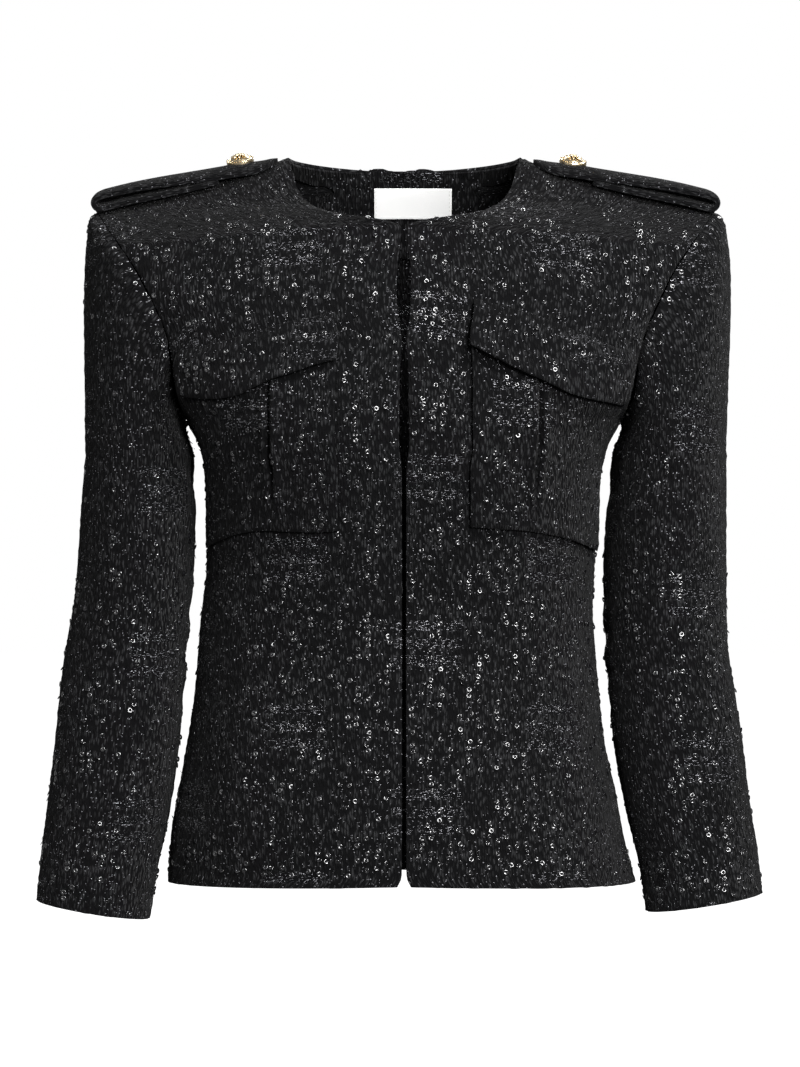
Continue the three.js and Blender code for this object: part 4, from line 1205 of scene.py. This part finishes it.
class JACKET_OT_neck(bpy.types.Operator):
    """Make the back neck facing and the bare label sewn on it."""

    bl_idname = "jacket.neck"
    bl_label = "Neck facing and label"

    def execute(self, context):
        facing = facing_surface(sizes().pitch / MM)
        material = tweed_material("tweed of the facing", seed=11.0)
        cloth = "neck_facing_back_cloth"
        sew(cloth, "neck_facing_back", [facing], material, FACING_THICK * MM)
        tape = label_surface()
        material = label_material()
        sew("neck_label_tape", "neck_label", [tape], material, LABEL_THICK * MM)
        self.stitches(tape)
        return {"FINISHED"}

    def stitches(self, tape):
        """Short stitches along the label's two ends."""
        points, faces = [], []
        rows = tape.points.shape[0]
        for column in (1, tape.points.shape[1] - 2):
            for r in range(1, rows - 2, 2):
                a, b = tape.points[r, column], tape.points[r + 1, column]
                lift = tape.normals[r, column] * 0.3
                aside = unit(np.cross(b - a, lift)) * 0.22
                first = len(points)
                points += [a - aside, a + aside, b + aside, b - aside, (a + b) / 2 + lift]
                faces += [(first + i, first + (i + 1) % 4, first + 4) for i in range(4)]
                faces.append((first + 3, first + 2, first + 1, first))
        piece = mesh_object(
            "neck_label_stitches", points, faces, thread_material("label thread", (0.72, 0.72, 0.7)), smooth=False,
        )
        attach(piece, "root")


def sequin_shape(radius):
    """One cup sequin with its hole: the cup, its underside and the faces that join them."""
    turns = np.arange(SEQUIN_SIDES) * 2 * np.pi / SEQUIN_SIDES
    rings = [stack(r * np.cos(turns), r * np.sin(turns), h) for r, h in SEQUIN_RINGS]
    under = [ring - (0, 0, SEQUIN_THICK) for ring in (rings[2], rings[0])]
    points = np.concatenate(rings + under) * radius
    order = (0, 1, 2, 3, 4, 0)
    faces = []
    for outer, inner in zip(order, order[1:]):
        for k in range(SEQUIN_SIDES):
            j = (k + 1) % SEQUIN_SIDES
            a, b = outer * SEQUIN_SIDES, inner * SEQUIN_SIDES
            faces.append((a + k, a + j, b + j, b + k))
    return points, np.array(faces)


def sequin_places(surface, seed, share=1.0, skip=None):
    """Rows and columns of the grid where sequins are sewn: down sewn columns, often as close pairs."""
    size = sizes()
    rng = np.random.default_rng(seed)
    across = np.abs(surface.across)
    rows, columns = across.shape
    step = size.sequin_column / MM
    places = []
    for k in range(int(np.ptp(surface.across) / step)):
        line = across.min() + (k + 0.5) * step
        r = rng.uniform(3, 9)
        while r < rows - 2:
            row = across[int(r)]
            target = line + rng.normal(0, SEQUIN_SWAY)
            if row[2] < target < row[-3] or row[-3] < target < row[2]:
                c = np.interp(target, row, np.arange(columns))
                if skip is None or not skip(target, surface.points[int(r), int(c), 2]):
                    places.append((r, c))
            middle = surface.points[int(r):int(r) + 2, columns // 2]
            drop = np.linalg.norm(middle[1] - middle[0])
            if rng.random() < SEQUIN_PAIRS:
                gap = size.sequin_radius / MM * SEQUIN_PAIR_STEP
            else:
                gap = rng.exponential(size.sequin_gap / MM / share) + SEQUIN_LEAST_GAP
            r += gap / max(drop, 0.5)
    return np.array(places)


def sequins_on(name, surface, seed, material, share=1.0, skip=None):
    """All the sequins of one cloth piece as one mesh, each with its own lean."""
    size = sizes()
    rng = np.random.default_rng(seed + 7)
    places = sequin_places(surface, seed, share, skip)
    r, c = places[:, 0].astype(int), places[:, 1].astype(int)
    fr, fc = (places[:, 0] - r)[:, None], (places[:, 1] - c)[:, None]
    p = surface.points
    base = mix(mix(p[r, c], p[r, c + 1], fc), mix(p[r + 1, c], p[r + 1, c + 1], fc), fr)
    lean = math.tan(size.sequin_tilt) * SEQUIN_LEAN_SPREAD
    normal = unit(surface.normals[r, c] + rng.normal(0, lean, (len(r), 3)))
    side = unit(np.cross(normal, rng.normal(0, 1, (len(r), 3))))
    other = np.cross(normal, side)
    shape, faces = sequin_shape(size.sequin_radius / MM)
    spots = (
        base[:, None] + surface.normals[r, c][:, None] * SEQUIN_LIFT + shape[None, :, :1] * side[:, None]
        + shape[None, :, 1:2] * other[:, None] + shape[None, :, 2:] * normal[:, None]
    )
    count = len(shape)
    all_faces = (faces[None] + (np.arange(len(r)) * count)[:, None, None]).reshape(-1, 4)
    piece = mesh_object(name, spots.reshape(-1, 3), all_faces, material)
    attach(piece, "root")
    return piece


class JACKET_OT_sequins(bpy.types.Operator):
    """Sew the cup sequins on the fronts, back, sleeves, pockets, flaps and neck facing."""

    bl_idname = "jacket.sequins"
    bl_label = "Sequins"

    def execute(self, context):
        material = sequin_material()
        for side, hand in HANDS.items():
            named = hand.title()

            def covered(run, z, named=named):
                top = read_at(FLAP, "run", "top" + named, run)
                bottom = read_at(POCKET, "run", "bottom" + named, run)
                return POCKET_RUNS[0] - 3 < run < POCKET_RUNS[1] + 2 and bottom - 2 < z < top + 2

            def under_flap(run, z, named=named):
                return z > read_at(FLAP, "run", "low" + named, run) - 1

            jobs = (
                ("front", front_surface, 2, 1.0, covered, "tweed_body"),
                ("back", back_surface, 1, 0.9, None, "tweed_body"),
                ("sleeve", sleeve_surface, 3, 1.0, None, "tweed_sleeve"),
                ("pocket", pocket_surface, 4, 1.1, under_flap, "tweed_pocket"),
                ("pocket_flap", flap_surface, 5, 0.55, None, "tweed_pocket"),
            )
            for name, make, step, share, skip, slot in jobs:
                surface = cloth_of(make, side, step)
                seed = seed_for(side, step + 10)
                piece = sequins_on(f"sequins_{name}_{hand}", surface, seed, material, share, skip)
        facing = facing_surface(sizes().pitch / MM)
        shifted = Surface(facing.points, facing.across - facing.across.min(), facing.up, facing.faces)

        def near_label(run, z):
            return z > -13 or (abs(run - 87 - 7) < 36 and z > -46)

        piece = sequins_on("sequins_neck_facing", shifted, 5, material, 0.3, near_label)
        return {"FINISHED"}


class JACKET_OT_stage(bpy.types.Operator):
    """Set the floor, the soft lights and the camera."""

    bl_idname = "jacket.stage"
    bl_label = "Stage"

    def execute(self, context):
        stage = context.scene.jacket_stage
        bpy.ops.object.select_all(action="DESELECT")
        bpy.ops.mesh.primitive_circle_add(vertices=96, radius=14, fill_type="NGON", location=(0, 0, stage.floor))
        floor = context.view_layer.objects.active
        floor.name = "studio_floor"
        # The floor is white to look at and throws no light up into the dark cloth.
        floor.visible_diffuse = False
        floor.visible_glossy = False
        material, start, shader = new_material("pale floor")
        feed(
            start, shader, Base_Color=(0.4, 0.4, 0.4, 1), Roughness=1.0, Specular_IOR_Level=0.0,
            Emission_Color=(1, 1, 1, 1), Emission_Strength=0.95,
        )
        floor.data.materials.append(material)
        settle(floor)
        world = bpy.data.worlds.new("white studio")
        world.use_nodes = True
        tree = world.node_tree
        tree.nodes["Background"].inputs["Color"].default_value = (1, 1, 1, 1)
        rays = Wire(tree, None).made("ShaderNodeLightPath", output=0)
        glow = rays * (1.0 - stage.surround) + stage.surround
        tree.links.new(glow.socket, tree.nodes["Background"].inputs["Strength"])
        context.scene.world = world
        context.scene.view_settings.view_transform = "Standard"
        for light in LIGHTS:
            self.light(*light)
        camera = bpy.data.objects.new("camera", bpy.data.cameras.new("camera"))
        context.collection.objects.link(camera)
        camera.location = (stage.camera_side, -stage.camera_distance, stage.camera_height)
        camera.rotation_euler = (math.radians(90), 0, 0)
        camera.data.lens = stage.lens
        camera.data.sensor_width = 36
        camera.data.sensor_fit = "AUTO"
        context.scene.camera = camera
        return {"FINISHED"}

    def light(self, name, place, size, power):
        """A square soft light that faces the jacket's chest."""
        data = bpy.data.lights.new(name, "AREA")
        data.size = size
        data.energy = power
        lamp = bpy.data.objects.new(name, data)
        lamp.location = place
        aim = np.array(LIGHTS_AIM) - np.array(place)
        lamp.rotation_euler = (
            math.acos(-aim[2] / np.linalg.norm(aim)), 0, math.atan2(aim[1], aim[0]) - math.pi / 2,
        )
        bpy.context.collection.objects.link(lamp)


class JACKET_PT_panel(bpy.types.Panel):
    """Lists the jacket's pieces in the order in which they are made."""

    bl_idname = "JACKET_PT_panel"
    bl_label = "Tweed jacket"
    bl_space_type = "VIEW_3D"
    bl_region_type = "UI"
    bl_category = "Jacket"

    def draw(self, context):
        for operator in STEPS:
            self.layout.operator(operator.bl_idname)
        for group in ("jacket_sizes", "jacket_colours", "jacket_stage"):
            values = getattr(context.scene, group)
            for name in values.bl_rna.properties.keys():
                if name not in ("rna_type", "name"):
                    self.layout.prop(values, name)


STEPS = (
    JACKET_OT_stage, JACKET_OT_body, JACKET_OT_sleeves, JACKET_OT_pockets, JACKET_OT_straps,
    JACKET_OT_buttons, JACKET_OT_neck, JACKET_OT_sequins,
)
GROUPS = {"jacket_sizes": CLOTH_PG_sizes, "jacket_colours": CLOTH_PG_colours, "jacket_stage": CLOTH_PG_stage}


def register():
    for group in GROUPS.values():
        bpy.utils.register_class(group)
    for name, group in GROUPS.items():
        setattr(bpy.types.Scene, name, PointerProperty(type=group))
    for step in (*STEPS, JACKET_PT_panel):
        bpy.utils.register_class(step)


def unregister():
    for step in (JACKET_PT_panel, *reversed(STEPS)):
        bpy.utils.unregister_class(step)
    for name in GROUPS:
        delattr(bpy.types.Scene, name)
    for group in reversed(list(GROUPS.values())):
        bpy.utils.unregister_class(group)


def main():
    register()
    bpy.ops.jacket.stage()
    bpy.ops.jacket.body()
    bpy.ops.jacket.sleeves()
    bpy.ops.jacket.pockets()
    bpy.ops.jacket.straps()
    bpy.ops.jacket.buttons()
    bpy.ops.jacket.neck()
    bpy.ops.jacket.sequins()


if __name__ == "__main__":
    main()
